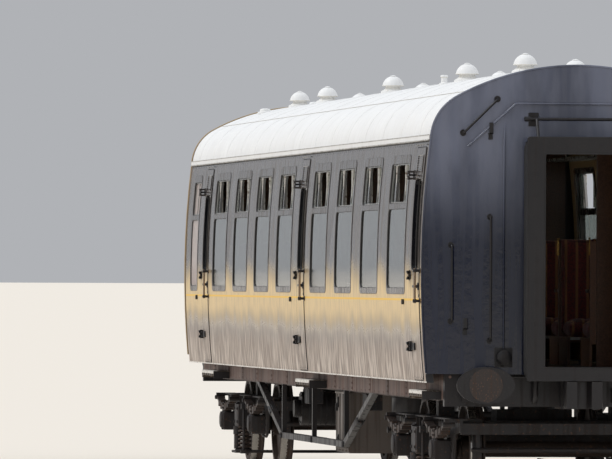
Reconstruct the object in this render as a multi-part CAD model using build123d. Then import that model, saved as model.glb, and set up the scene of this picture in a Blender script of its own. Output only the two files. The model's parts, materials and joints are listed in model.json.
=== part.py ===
from build123d import *
import os
from collections import namedtuple
from math import cos, radians, sin, sqrt

# A gangwayed open saloon coach, in millimetres.
# +X runs along the coach, -Y is the left side, where the doors are hung at their -X edges, +Z is up.
# Heights count from the rail top; every piece is lifted by the flange height as it is written.

os.makedirs("parts", exist_ok=True)

# Wheels and axles
TREAD_RADIUS = 457.0
FLANGE_HEIGHT = 28.5
WHEEL_BACK_Y = 681.0
RIM_WIDTH = 135.0
RIM_DEPTH = 62.0
HUB_RADIUS = 120.0
HUB_INSET = 16.0
HUB_OUTSET = 29.0
DISC_THICK = 25.0
AXLE_RADIUS = 72.0
JOURNAL_RADIUS = 65.0
JOURNAL_LONG = 195.0
JOURNAL_STEP = 40.0
RUNNING_CLEARANCE = 0.05
AXLE_SPACING = 2590.0

AXLE_Z = TREAD_RADIUS
AXLE_X = AXLE_SPACING / 2
FLANGE_RADIUS = TREAD_RADIUS + FLANGE_HEIGHT
WHEEL_FACE_Y = WHEEL_BACK_Y + RIM_WIDTH
HUB_START_Y = WHEEL_BACK_Y - HUB_INSET
HUB_END_Y = WHEEL_FACE_Y + HUB_OUTSET
JOURNAL_START_Y = HUB_END_Y + JOURNAL_STEP
JOURNAL_END_Y = JOURNAL_START_Y + JOURNAL_LONG

# Body length and layout: vestibules and lavatories are fixed, and the eight bays share what is left
BODY_HALF_LENGTH = 9650.0
END_BOW = 180.0
END_OVERHANG = 2563.0
FRONT_VESTIBULE = 840.0
MIDDLE_VESTIBULE = 880.0
REAR_VESTIBULE = 840.0
LAVATORIES = 1500.0
BAYS = 4

PIVOT_X = BODY_HALF_LENGTH - END_OVERHANG
ROOMS = FRONT_VESTIBULE + MIDDLE_VESTIBULE + REAR_VESTIBULE + LAVATORIES
SALOON_LONG = (2 * BODY_HALF_LENGTH - ROOMS) / 2
BAY = SALOON_LONG / BAYS
FRONT_SALOON_X = BODY_HALF_LENGTH - FRONT_VESTIBULE - SALOON_LONG
REAR_SALOON_X = FRONT_SALOON_X - MIDDLE_VESTIBULE - SALOON_LONG
LAVATORY_WALL_X = REAR_SALOON_X - REAR_VESTIBULE
SALOON_STARTS = (FRONT_SALOON_X, REAR_SALOON_X)
WINDOW_XS = [start + (index + 0.5) * BAY for start in SALOON_STARTS for index in range(BAYS)]
CROSS_WALL_XS = (FRONT_SALOON_X + SALOON_LONG, FRONT_SALOON_X, REAR_SALOON_X + SALOON_LONG, REAR_SALOON_X)

# Body heights, stacked from the axles up
BOWL_ABOVE_AXLE = 393.0
BOWL_PLAY = 1.0
FLOOR_ABOVE_BOWL = 299.0
FLOOR_THICK = 60.0
SKIRT_DROP = 80.0
WAIST_ABOVE_FLOOR = 720.0
CANTRAIL_ABOVE_FLOOR = 2023.0
ROOF_RISE = 667.0

BOWL_Z = AXLE_Z + BOWL_ABOVE_AXLE
CENTRE_Z = BOWL_Z + BOWL_PLAY
FLOOR_BOTTOM = CENTRE_Z + FLOOR_ABOVE_BOWL
FLOOR_TOP = FLOOR_BOTTOM + FLOOR_THICK
SKIRT_Z = FLOOR_BOTTOM - SKIRT_DROP
WAIST_Z = FLOOR_TOP + WAIST_ABOVE_FLOOR
CANTRAIL_Z = FLOOR_TOP + CANTRAIL_ABOVE_FLOOR
RIDGE_Z = CANTRAIL_Z + ROOF_RISE

# Body section: widest at the waist, tucked in at the skirt and the cantrail
WAIST_HALF = 1372.0
SKIRT_TUCK = 47.0
CANTRAIL_TUCK = 72.0
SHOULDER_RADIUS = 450.0
WALL = 65.0
GUTTER_HIGH = 52.0
GUTTER_OUT = 12.0

SKIRT_HALF = WAIST_HALF - SKIRT_TUCK
CANTRAIL_HALF = WAIST_HALF - CANTRAIL_TUCK

# Doorways inside
CROSS_WALL = 30.0
AISLE_DOOR_HALF = 330.0
AISLE_DOOR_HIGH = 1940.0
PASSAGE_SETBACK = 30.0
LAVATORY_DOOR_SETBACK = 310.0
LAVATORY_DOOR_WIDE = 600.0
LAVATORY_DOOR_HIGH = 1920.0

PASSAGE_HALF = AISLE_DOOR_HALF + PASSAGE_SETBACK

# Windows
FRAME_HALF = 620.0
LAVATORY_FRAME_HALF = 335.0
LAVATORY_WINDOW_SETBACK = 630.0
SILL_ABOVE_FLOOR = 675.0
FRAME_HIGH = 1205.0
FRAME_CORNER = 70.0
FRAME_DEPTH = 50.0
FRAME_RIM = 20.0
LIP_WIDE = 15.0
LIP_BELOW = 25.0
LIP_ABOVE = 30.0
LIP_RISE = 4.0
PANE_RIM = 28.0
PANE_CORNER = 60.0
PANE_SINK = 8.0
PANE_THICK = 6.0
TOPLIGHT_RIM = 45.0
TOPLIGHT_HIGH = 362.0
WINDOW_TRANSOM = 49.0
TOPLIGHT_CORNER = 45.0
TOPLIGHT_SINK = 12.0
TOPLIGHT_DEPTH = 22.0
TOPLIGHT_BAR = 14.0
TOPLIGHT_EDGE = 12.0
TOPLIGHT_PANE_SINK = 20.0
TOPLIGHT_PANE = 5.0
TOPLIGHT_SLIDE = 7.0

LAVATORY_WINDOW_X = LAVATORY_WALL_X - LAVATORY_WINDOW_SETBACK
SILL_Z = FLOOR_TOP + SILL_ABOVE_FLOOR
FRAME_Z = (SILL_Z, SILL_Z + FRAME_HIGH)
TOPLIGHT_Z = (FRAME_Z[1] - TOPLIGHT_RIM - TOPLIGHT_HIGH, FRAME_Z[1] - TOPLIGHT_RIM)
PANE_Z = (FRAME_Z[0] + PANE_RIM, TOPLIGHT_Z[0] - WINDOW_TRANSOM)

# Doors
DOOR_HALF = 315.0
DOOR_ABOVE_SKIRT = 15.0
DOOR_HIGH = 2095.0
DOOR_CORNER = 30.0
DOOR_FROM_END = 490.0
DOOR_FROM_SALOON = 390.0
HINGE_GAP = 6.0
LOCK_GAP = 9.0
DOOR_END_GAP = 6.0
LEAF_SKIN = 18.0
LEAF_DEPTH = 55.0
LOCK_SETBACK = 18.0
DOOR_WINDOW_HALF = 210.0
DOOR_WINDOW_HIGH = 810.0
DOOR_WINDOW_DROP = 290.0
DOOR_WINDOW_CORNER = 50.0
DOOR_PANE_SINK = 42.0
DOOR_PANE_THICK = 5.0
HINGE_OUT = 21.0
LOW_HINGE = 305.0
MIDDLE_HINGE = 945.0
HIGH_HINGE = 1845.0
KNUCKLE_RADIUS = 10.0
PIN_RADIUS = 5.0
DOOR_KNUCKLE = 15.0
KNUCKLE_END = 40.0
KNUCKLE_GAP = 1.0
ARM_SETBACK = 6.0
ARM_REACH = 66.0
ARM_THICK = 12.0
WEB_START = 16.0

DOOR_Z = (SKIRT_Z + DOOR_ABOVE_SKIRT, SKIRT_Z + DOOR_ABOVE_SKIRT + DOOR_HIGH)
DOOR_WINDOW_Z = (DOOR_Z[1] - DOOR_WINDOW_DROP - DOOR_WINDOW_HIGH, DOOR_Z[1] - DOOR_WINDOW_DROP)
HINGE_ZS = (DOOR_Z[0] + LOW_HINGE, DOOR_Z[0] + MIDDLE_HINGE, DOOR_Z[0] + HIGH_HINGE)
HINGE_Y = WAIST_HALF + HINGE_OUT
HINGE_X = -DOOR_HALF + HINGE_GAP / 2
DOOR_FRONT_X = BODY_HALF_LENGTH - DOOR_FROM_END
DOOR_MIDDLE_X = FRONT_SALOON_X - MIDDLE_VESTIBULE / 2
DOOR_REAR_X = REAR_SALOON_X - DOOR_FROM_SALOON

# Door fittings
LEVER_FROM_LOCK = 65.0
LEVER_OUT = 45.0
LEVER_LONG = 105.0
LEVER_THICK = 14.0
LEVER_HIGH = 24.0
GRAB_FROM_LOCK = 60.0
GRAB_RISE = 270.0
GRAB_OVER_WAIST = 140.0
GRAB_OUT = 52.0
GRAB_RADIUS = 11.0
GRAB_OVERRUN = 20.0
STOP_FROM_HINGE = 430.0
STOP_UNDER_WAIST = 140.0
STOP_OUT = 22.0
STOP_RADIUS = 24.0

LEVER_X = DOOR_HALF - LEVER_FROM_LOCK
LEVER_Z = WAIST_Z
GRAB_Z = (WAIST_Z + GRAB_OVER_WAIST - GRAB_RISE, WAIST_Z + GRAB_OVER_WAIST)
STOP_Z = WAIST_Z - STOP_UNDER_WAIST

# Seats, tables, racks
SEAT_WALL_GAP = 30.0
SEAT_AISLE_Y = 275.0
SEAT_BACK_HIGH = 1130.0
SEAT_BACK_GAP = 4.0
SEAT_BOARD = 24.0
SEAT_DEEP = 560.0
SEAT_PAN_HIGH = 230.0
SEAT_PAN_THICK = 30.0
CUSHION_HIGH = 170.0
CUSHION_SOFT = 38.0
CUSHION_INSET = 10.0
CUSHION_OVERHANG = 20.0
BACK_PAD_THICK = 110.0
BACK_PAD_OVER = 30.0
PAD_GAP = 2.0
TABLE_HIGH = 695.0
TABLE_THICK = 28.0
TABLE_HALF = 270.0
TABLE_AISLE_Y = 420.0
TABLE_LEG_HALF = 20.0
TABLE_FOOT_HALF = 90.0
RACK_ABOVE_FLOOR = 1960.0
RACK_FROM_WALL = 75.0
RACK_RAILS = 4
RACK_PITCH = 80.0
RACK_RADIUS = 9.0
RACK_LIP = 70.0
RACK_BRACKET_HALF = 8.0

SEAT_PAN_Z = FLOOR_TOP + SEAT_PAN_HIGH
SEAT_BACK_Z = FLOOR_TOP + SEAT_BACK_HIGH
TABLE_Z = FLOOR_TOP + TABLE_HIGH
RACK_Z = FLOOR_TOP + RACK_ABOVE_FLOOR

# Roof ventilators, staggered about the ridge
VENT_RISE = 118.0
VENT_CAP_GAP = 20.0
VENT_RIM = 8.0
VENT_CAP_RADIUS = 106.0
VENT_NECK_RADIUS = 72.0
VENT_Y = 380.0
VENT_FROM_END = 480.0

VENT_TOP = RIDGE_Z + VENT_RISE
VENT_CAP_Z = RIDGE_Z + VENT_CAP_GAP
Vent = namedtuple("Vent", "x side")
VENTS = (
    Vent(REAR_SALOON_X - 90, -1), Vent(-5000.0, -1), Vent(220.0, -1), Vent(5470.0, -1),
    Vent(BODY_HALF_LENGTH - VENT_FROM_END, -1),
    Vent(LAVATORY_WALL_X - 50, 1), Vent(-3100.0, 1), Vent(2400.0, 1), Vent(7200.0, 1),
)

# Underframe
SOLEBAR_SETBACK = 155.0
SOLEBAR_WIDE = 80.0
SOLEBAR_DEEP = 235.0
SOLEBAR_WEB = 14.0
SOLEBAR_FLANGE = 16.0
HEADSTOCK_OUT = 15.0
HEADSTOCK_THICK = 90.0
HEADSTOCK_DEEP = 290.0
BEARER_DEEP = 135.0
BEARER_HALF = 40.0
BEARER_SPACING = 1300.0
BEARERS = 8
RUNNER_Y = 350.0
RUNNER_HALF = 35.0
RUNNER_DEEP = 110.0
BODY_BOLSTER_HALF = 200.0
CENTRE_RADIUS = 200.0
CENTRE_PIN_RADIUS = 60.0
CENTRE_PIN_LONG = 86.0
CENTRE_PIN_DEPTH = 25.0
SIDE_BEARER_Y = 800.0
SIDE_BEARER_HALF = 75.0
SIDE_BEARER_RIM = 10.0
SIDE_BEARER_GAP = 8.0
SIDE_BEARER_OVER = 49.0
OVERLAP = 5.0

SOLEBAR_OUT_Y = SKIRT_HALF - SOLEBAR_SETBACK
SOLEBAR_IN_Y = SOLEBAR_OUT_Y - SOLEBAR_WIDE
SOLEBAR_Z = FLOOR_BOTTOM - SOLEBAR_DEEP
HEADSTOCK_X = BODY_HALF_LENGTH + HEADSTOCK_OUT
HEADSTOCK_BACK_X = HEADSTOCK_X - HEADSTOCK_THICK
HEADSTOCK_Z = FLOOR_BOTTOM - HEADSTOCK_DEEP
BEARER_Z = FLOOR_BOTTOM - BEARER_DEEP
RUNNER_Z = FLOOR_BOTTOM - RUNNER_DEEP
CENTRE_PIN_Z = CENTRE_Z - CENTRE_PIN_LONG
SIDE_BEARER_Z = CENTRE_Z + SIDE_BEARER_OVER

# Under the floor
TRUSS_THICK = 60.0
TRUSS_SETBACK = 10.0
TRUSS_POST_X = 2500.0
TRUSS_POST_HALF = 22.0
TRUSS_FROM_PIVOT = 2387.0
TRUSS_DROP = 555.0
TRUSS_DEEP = 60.0
BATTERY_X = 1400.0
BATTERY_LONG = 1040.0
BATTERY_DEEP = 465.0
BATTERY_HIGH = 600.0
BATTERY_DROP = 15.0
BATTERY_GAP = 5.0
BATTERY_RIBS = 5
BATTERY_RIB_HALF = 15.0
BATTERY_RIB_OUT = 9.0
BATTERY_STRAP_HALF = 30.0
CYLINDER_FROM_PIVOT = 2937.0
CYLINDER_Y = 640.0
CYLINDER_HIGH = 480.0
CYLINDER_DROP = 250.0
CYLINDER_RADIUS = 265.0
CYLINDER_NECK = 120.0
DYNAMO_END_Y = 180.0
DYNAMO_LONG = 580.0
DYNAMO_DROP = 510.0
DYNAMO_RADIUS = 175.0
PULLEY_RADIUS = 90.0
PULLEY_LONG = 70.0
SHAFT_DROP = 510.0
SHAFT_SETBACK = 270.0
SHAFT_RADIUS = 35.0
SHAFT_HANGER_SETBACK = 140.0
CRANK_THICK = 30.0
PULL_ROD_Y = 75.0
PULL_ROD_RISE = 155.0
PULL_ROD_RADIUS = 14.0
PULL_ROD_FROM_PIVOT = 3387.0

TRUSS_OUT_Y = SOLEBAR_OUT_Y - TRUSS_SETBACK
TRUSS_IN_Y = TRUSS_OUT_Y - TRUSS_THICK
TRUSS_END_X = PIVOT_X - TRUSS_FROM_PIVOT
TRUSS_Z = SOLEBAR_Z - TRUSS_DROP
BATTERY_OUT_Y = SOLEBAR_IN_Y - BATTERY_GAP
BATTERY_TOP = SOLEBAR_Z - BATTERY_DROP
CYLINDER_X = PIVOT_X - CYLINDER_FROM_PIVOT
CYLINDER_TOP = FLOOR_BOTTOM - CYLINDER_DROP
DYNAMO_X = -CYLINDER_X
DYNAMO_Z = FLOOR_BOTTOM - DYNAMO_DROP
SHAFT_Z = FLOOR_BOTTOM - SHAFT_DROP
SHAFT_HALF = SOLEBAR_OUT_Y - SHAFT_SETBACK
PULL_ROD_X = PIVOT_X - PULL_ROD_FROM_PIVOT

# Step boards, one to each door
STEP_SETBACK = 26.0
STEP_DROP = 72.0
STEP_THICK = 22.0
STEP_FACE = 54.0
STEP_FACE_THICK = 16.0
STEP_BRACKET = 10.0
STEP_BRACKET_DEEP = 78.0

STEP_OUT_Y = WAIST_HALF - STEP_SETBACK
STEP_TOP_Z = SKIRT_Z - STEP_DROP
Step = namedtuple("Step", "x length")
STEPS = (Step(DOOR_MIDDLE_X, 1100.0), Step(DOOR_REAR_X + 80, 1100.0), Step(DOOR_FRONT_X - 120, 850.0))

# Ends
DOORWAY_HALF = 350.0
DOORWAY_HIGH = 1900.0
GANGWAY_LONG = 550.0
BELLOWS_WIDE = 120.0
BELLOWS_BELOW = 90.0
BELLOWS_ABOVE = 110.0
PLATE_THICK = 30.0
PLATE_RIM = 35.0
PLATE_BELOW = 20.0
BUFFER_Y = 864.0
BUFFER_DROP = 96.0
BUFFER_LONG = 475.0
BUFFER_HEAD_WIDE = 520.0
BUFFER_HEAD_HIGH = 330.0
BUFFER_HEAD_THICK = 28.0
BUFFER_BARREL_RADIUS = 94.0
BUFFER_BARREL_LONG = 285.0
BUFFER_RAM_RADIUS = 66.0
BUFFER_BASE = 300.0
BUFFER_BASE_THICK = 24.0
COUPLER_OUT = 235.0
COUPLER_HIGH = 240.0
SHANK_HALF = 70.0
SHANK_HIGH = 150.0
SHANK_OVER = 40.0

DOORWAY_TOP = FLOOR_TOP + DOORWAY_HIGH
BELLOWS_HALF = DOORWAY_HALF + BELLOWS_WIDE
BELLOWS_Z = (FLOOR_TOP - BELLOWS_BELOW, DOORWAY_TOP + BELLOWS_ABOVE)
PLATE_X = BODY_HALF_LENGTH + GANGWAY_LONG
PLATE_HALF = BELLOWS_HALF + PLATE_RIM
PLATE_Z = (BELLOWS_Z[0] - PLATE_BELOW, BELLOWS_Z[1] + PLATE_RIM)
BUFFER_Z = FLOOR_BOTTOM - BUFFER_DROP
BUFFER_FACE_X = HEADSTOCK_X + BUFFER_LONG
BUFFER_BARREL_X = HEADSTOCK_X + BUFFER_BARREL_LONG
COUPLER_X = HEADSTOCK_X + COUPLER_OUT
COUPLER_Z = HEADSTOCK_Z - 10
SHANK_Z = COUPLER_Z + SHANK_OVER

# Bogie frame, round the wheels
PLATE_FROM_WHEEL = 109.0
PLATE_WIDE = 25.0
FLANGE_IN = 45.0
FLANGE_OUT = 50.0
FLANGE_THICK = 15.0
FRAME_OVER_LEAVES = 33.0
FRAME_PAST_LEAVES = 45.0
PLATE_UNDER_AXLE = 27.0
HORN_UNDER_AXLE = 127.0
HORN_WIDE = 105.0
HORN_OVER_BOX = 15.0
HORN_GAP = 3.0
BOLSTER_SLACK = 45.0
BOLSTER_HEADROOM = 25.0
TRANSOM_HALF = 70.0
TRANSOM_SETBACK = 35.0
TRANSOM_HIGH = 140.0
TRANSOM_DROP = 40.0
END_MEMBER_HALF = 40.0
END_MEMBER_HIGH = 100.0

# Axleboxes and their leaf springs
BOX_HALF = 125.0
BOX_UNDER_AXLE = 112.0
BOX_OVER_AXLE = 88.0
BOX_INSET = 5.0
BOX_SOFT = 18.0
BOX_COVER_RADIUS = 85.0
BOX_COVER_THICK = 28.0
BOX_END_WALL = 10.0
BOX_END_PLAY = 5.0
LEAF_COUNT = 7
LEAF_SHORT = 150.0
LEAF_STEP = 90.0
LEAF_THICK = 11.0
LEAF_WIDE = 80.0
LEAF_SETBACK = 5.0
LEAF_CAMBER = 75.0
BUCKLE_HALF = 60.0
BUCKLE_BELOW = 10.0
BUCKLE_ABOVE = 13.0
BUCKLE_WIDER = 4.0
HANGER_HALF = 30.0
LEAF_END_GAP = 1.0

BOX_Z = (AXLE_Z - BOX_UNDER_AXLE, AXLE_Z + BOX_OVER_AXLE)
BOX_START_Y = JOURNAL_START_Y + BOX_INSET
BOX_END_Y = JOURNAL_END_Y + BOX_END_WALL
LEAF_OUT_Y = BOX_END_Y - LEAF_SETBACK
LEAF_IN_Y = LEAF_OUT_Y - LEAF_WIDE
LEAF_HALVES = [LEAF_SHORT + index * LEAF_STEP for index in range(LEAF_COUNT)]
LEAF_REACH = LEAF_HALVES[-1]
LEAF_SEAT_Z = BOX_Z[1] + BUCKLE_BELOW
LEAF_STACK = LEAF_COUNT * LEAF_THICK
LEAF_END_Z = LEAF_SEAT_Z + LEAF_STACK + LEAF_CAMBER

# Bolster, spring plank and coils
BOLSTER_HALF = 180.0
BOLSTER_UNDER_BOWL = 440.0
BOLSTER_HIGH = 230.0
BOLSTER_RAISE_Y = 350.0
BOLSTER_RAISE_HIGH = 160.0
BOLSTER_OVERHANG = 80.0
BOWL_RADIUS = 220.0
SPRING_PLANK_HALF = 200.0
SPRING_PLANK_Z = 120.0
SPRING_PLANK_THICK = 25.0
SPRING_PLANK_PAST = 30.0
LINK_FROM_BOLSTER = 90.0
LINK_FROM_PLATE = 95.0
LINK_RADIUS = 13.0
LINK_BRACKET_HIGH = 60.0
LINK_BRACKET_DROP = 90.0
COIL_X = 90.0
COIL_RADIUS = 62.0
COIL_WIRE = 12.0
COIL_TURNS = 6

# Brakes
BEAM_GAP = 25.0
BEAM_RADIUS = 24.0
BLOCK_CLEARANCE = 8.0
BLOCK_THICK = 50.0
BLOCK_HALF_HIGH = 150.0
BLOCK_WIDE = 80.0
BLOCK_FROM_BACK = 41.0
BLOCK_HANGER_WIDE = 34.0
BLOCK_HANGER_DROP = 50.0

PLATE_IN_Y = WHEEL_FACE_Y + PLATE_FROM_WHEEL
PLATE_OUT_Y = PLATE_IN_Y + PLATE_WIDE
PLATE_MID_Y = PLATE_IN_Y + PLATE_WIDE / 2
FRAME_TOP_Z = LEAF_END_Z + FRAME_OVER_LEAVES
BOGIE_HALF = AXLE_X + LEAF_REACH + FRAME_PAST_LEAVES
BOLSTER_Z = (BOWL_Z - BOLSTER_UNDER_BOWL, BOWL_Z - BOLSTER_UNDER_BOWL + BOLSTER_HIGH)
BOLSTER_RAISE_Z = BOLSTER_Z[1] + BOLSTER_RAISE_HIGH
BOLSTER_DOOR_HALF = BOLSTER_HALF + BOLSTER_SLACK
BOLSTER_DOOR_Z = BOLSTER_Z[1] + BOLSTER_HEADROOM
TRANSOM_X = BOLSTER_DOOR_HALF + TRANSOM_SETBACK + TRANSOM_HALF
TRANSOM_Z = (FRAME_TOP_Z - TRANSOM_DROP - TRANSOM_HIGH, FRAME_TOP_Z - TRANSOM_DROP)
END_MEMBER_Z = (TRANSOM_Z[1] - END_MEMBER_HIGH, TRANSOM_Z[1])
PLATE_LOW_Z = AXLE_Z - PLATE_UNDER_AXLE
HORN_Z = AXLE_Z - HORN_UNDER_AXLE
HORN_TOP_Z = BOX_Z[1] + HORN_OVER_BOX
LINK_X = BOLSTER_HALF + LINK_FROM_BOLSTER
LINK_Y = PLATE_OUT_Y + LINK_FROM_PLATE
LINK_BRACKET_Z = (FRAME_TOP_Z - LINK_BRACKET_DROP - LINK_BRACKET_HIGH, FRAME_TOP_Z - LINK_BRACKET_DROP)
COIL_Y = LINK_Y - 35
BOLSTER_Y = COIL_Y + BOLSTER_OVERHANG
SPRING_PLANK_TOP = SPRING_PLANK_Z + SPRING_PLANK_THICK
SPRING_PLANK_Y = BOLSTER_Y + SPRING_PLANK_PAST
BEAM_X = TREAD_RADIUS + BLOCK_CLEARANCE + BLOCK_THICK + BEAM_GAP
BLOCK_Y = WHEEL_BACK_Y + BLOCK_FROM_BACK
BLOCK_MID_Y = BLOCK_Y + BLOCK_WIDE / 2
BLOCK_HANGER_Z = FRAME_TOP_Z - BLOCK_HANGER_DROP

# What cutters stand past the pieces that they cut
BIG = 400.0
MARGIN = 120.0

Door = namedtuple("Door", "name x side")
DOORS = [
    Door(f"{place}_{hand}", x, side)
    for place, x in (("front", DOOR_FRONT_X), ("middle", DOOR_MIDDLE_X), ("rear", DOOR_REAR_X))
    for hand, side in (("left", -1), ("right", 1))
]


def circle_through(a, b, c):
    """Centre and radius of the circle through three points."""
    ax, ay = a
    bx, by = b
    cx, cy = c
    d = 2 * (ax * (by - cy) + bx * (cy - ay) + cx * (ay - by))
    ux = ((ax**2 + ay**2) * (by - cy) + (bx**2 + by**2) * (cy - ay) + (cx**2 + cy**2) * (ay - by)) / d
    uy = ((ax**2 + ay**2) * (cx - bx) + (bx**2 + by**2) * (ax - cx) + (cx**2 + cy**2) * (bx - ax)) / d
    return ux, uy, sqrt((ax - ux) ** 2 + (ay - uy) ** 2)


SIDE_CY, SIDE_CZ, SIDE_R = circle_through(
    (SKIRT_HALF, SKIRT_Z), (WAIST_HALF, WAIST_Z), (CANTRAIL_HALF, CANTRAIL_Z)
)


def half_width(z, offset=0.0):
    """Half width of the body side at a height, moved outwards by offset."""
    return SIDE_CY + offset + sqrt(SIDE_R**2 - (z - SIDE_CZ) ** 2)


def band(outer, inner, z0, z1, x0, x1, side=-1):
    """A piece of the curved side between two offsets, two heights and two places along the coach."""
    zm = (z0 + z1) / 2

    def at(offset, z):
        return (side * half_width(z, offset), z)

    face = make_face([
        ThreePointArc(at(outer, z0), at(outer, zm), at(outer, z1)),
        Line(at(outer, z1), at(inner, z1)),
        ThreePointArc(at(inner, z1), at(inner, zm), at(inner, z0)),
        Line(at(inner, z0), at(outer, z0)),
    ])
    return extrude(Plane.YZ.offset(x0) * face, amount=x1 - x0)


def skin_block(z, x, inner=WALL):
    """A block of the side's depth round a fitting, used to cut the fitting flush with the skin."""
    return band(0, -inner, z - BIG / 2, z + BIG / 2, x - BIG / 2, x + BIG / 2)


def section(inset, z0):
    """Closed cross section of the body from z0 up to the ridge, every face moved in by inset."""
    a = CANTRAIL_HALF - inset
    rise = RIDGE_Z - CANTRAIL_Z - inset
    shoulder = SHOULDER_RADIUS - inset
    crown = ((a - shoulder) ** 2 + rise**2 - shoulder**2) / (2 * (rise - shoulder))
    crown_z = CANTRAIL_Z + rise - crown
    reach = sqrt((a - shoulder) ** 2 + (CANTRAIL_Z - crown_z) ** 2)
    joint = (crown * (a - shoulder) / reach, crown_z + crown * (CANTRAIL_Z - crown_z) / reach)
    lean = radians(22.5)
    mid = (a - shoulder + shoulder * cos(lean), CANTRAIL_Z + shoulder * sin(lean))
    edges = [
        ThreePointArc((a, CANTRAIL_Z), mid, joint),
        ThreePointArc(joint, (0, CANTRAIL_Z + rise), (-joint[0], joint[1])),
        ThreePointArc((-joint[0], joint[1]), (-mid[0], mid[1]), (-a, CANTRAIL_Z)),
    ]
    if z0 < CANTRAIL_Z:
        zm = (z0 + CANTRAIL_Z) / 2
        low = half_width(z0, -inset)
        middle = half_width(zm, -inset)
        edges.append(ThreePointArc((low, z0), (middle, zm), (a, CANTRAIL_Z)))
        edges.append(ThreePointArc((-low, z0), (-middle, zm), (-a, CANTRAIL_Z)))
        edges.append(Line((-low, z0), (low, z0)))
    else:
        edges.append(Line((-a, z0), (a, z0)))
    return make_face(edges)


def section_solid(inset, z0, x0, x1):
    """The body's full cross section as a solid between two places along the coach."""
    return extrude(Plane.YZ.offset(x0) * section(inset, z0), amount=x1 - x0)


def bowed_plan(inset):
    """A tall solid whose plan is the body's, with both ends bowed and moved in by inset."""
    half = WAIST_HALF + 100
    bow = (WAIST_HALF**2 + END_BOW**2) / (2 * END_BOW)
    centre = BODY_HALF_LENGTH + END_BOW - bow
    r = bow - inset
    x_edge = centre + sqrt(r**2 - half**2)
    face = make_face([
        ThreePointArc((x_edge, -half), (centre + r, 0), (x_edge, half)),
        Line((x_edge, half), (-x_edge, half)),
        ThreePointArc((-x_edge, half), (-centre - r, 0), (-x_edge, -half)),
        Line((-x_edge, -half), (x_edge, -half)),
    ])
    return extrude(Plane.XY.offset(SOLEBAR_Z) * face, amount=RIDGE_Z - SOLEBAR_Z + 100)


def box(x0, x1, y0, y1, z0, z1):
    """A box between two corners."""
    return Pos((x0 + x1) / 2, (y0 + y1) / 2, (z0 + z1) / 2) * Box(abs(x1 - x0), abs(y1 - y0), abs(z1 - z0))


def rod(a, b, radius):
    """A round bar from point a to point b."""
    start = Vector(*a)
    end = Vector(*b)
    return extrude(Plane(origin=start, z_dir=end - start) * Circle(radius), amount=(end - start).length)


def prism(x0, x1, z0, z1, corner, side=-1):
    """A rounded rectangle in the side view, run right through one side of the body."""
    face = Pos((x0 + x1) / 2, (z0 + z1) / 2) * RectangleRounded(x1 - x0, z1 - z0, corner)
    inner = WAIST_HALF - 0.75 * BIG
    plane = Plane(origin=(0, side * inner, 0), x_dir=(1, 0, 0), z_dir=(0, -1, 0))
    return extrude(plane * face, amount=-side * BIG)


def side_view(points, y0, y1):
    """A polygon in the side view made as thick as the left side's y0 to y1."""
    plane = Plane(origin=(0, -y0, 0), x_dir=(1, 0, 0), z_dir=(0, -1, 0))
    return extrude(plane * make_face(Polyline(*points, close=True)), amount=y1 - y0)


def both_sides(solid):
    """A solid and its mirror image in the coach's middle plane."""
    return [solid, mirror(solid, about=Plane.XZ)]


def both_ends(solid):
    """A solid and its mirror image in the plane across the coach's middle."""
    return [solid, mirror(solid, about=Plane.YZ)]


def union(solids):
    """All the solids joined."""
    result = solids[0]
    for solid in solids[1:]:
        result = result + solid
    return result


def write(node, shape):
    """Write one node, lifted so that the flanges stand on the ground."""
    shapes = shape if isinstance(shape, (list, tuple)) else [shape]
    solids = [Pos(0, 0, FLANGE_HEIGHT) * solid for one in shapes for solid in one.solids()]
    part = solids[0] if len(solids) == 1 else Compound(children=solids)
    part.label = node
    export_step(part, f"parts/{node}.step")
    print(node, len(solids), round(sum(solid.volume for solid in solids) / 1e9, 4))


inside_ends = bowed_plan(WALL)
outside_ends = bowed_plan(0.0)
LONG = BODY_HALF_LENGTH + END_BOW + 100


# Body shell

def body_side(side):
    """One body side with its window and door openings."""
    wall = band(0, -WALL, SKIRT_Z, CANTRAIL_Z, -LONG, LONG, side)
    places = [(x, FRAME_HALF) for x in WINDOW_XS] + [(LAVATORY_WINDOW_X, LAVATORY_FRAME_HALF)]
    cutters = [prism(x - half, x + half, *FRAME_Z, FRAME_CORNER, side) for x, half in places]
    for door in DOORS:
        if door.side == side:
            cutters.append(prism(door.x - DOOR_HALF, door.x + DOOR_HALF, *DOOR_Z, DOOR_CORNER, side))
    return (wall & inside_ends) - cutters


def body_end():
    """The front bowed end wall, as thick as the sides and as high as the roof."""
    start = BODY_HALF_LENGTH - BIG
    wall = (section_solid(0.0, FLOOR_BOTTOM, start, LONG) & outside_ends) - inside_ends
    return wall - box(start, LONG, -DOORWAY_HALF, DOORWAY_HALF, FLOOR_TOP, DOORWAY_TOP)


def roof():
    """The roof shell with its two gutters."""
    outer = section_solid(0.0, CANTRAIL_Z, -LONG, LONG)
    shell = (outer - section_solid(WALL, CANTRAIL_Z, -LONG, LONG)) & inside_ends
    gutter_x = BODY_HALF_LENGTH - 20
    gutter = box(-gutter_x, gutter_x, -CANTRAIL_HALF - GUTTER_OUT, -CANTRAIL_HALF + WALL / 2,
                 CANTRAIL_Z, CANTRAIL_Z + GUTTER_HIGH) - outer
    return union([shell] + both_sides(gutter))


def floor():
    """The floor between the body sides, bowed at the ends like them."""
    layer = box(-LONG, LONG, -WAIST_HALF, WAIST_HALF, FLOOR_BOTTOM, FLOOR_TOP)
    return section_solid(WALL, FLOOR_BOTTOM, -LONG, LONG) & layer & inside_ends


write("side_left", body_side(-1))
write("side_right", body_side(1))
write("body_ends", both_ends(body_end()))
write("roof", roof())
write("floor", floor())


# Windows

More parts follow.
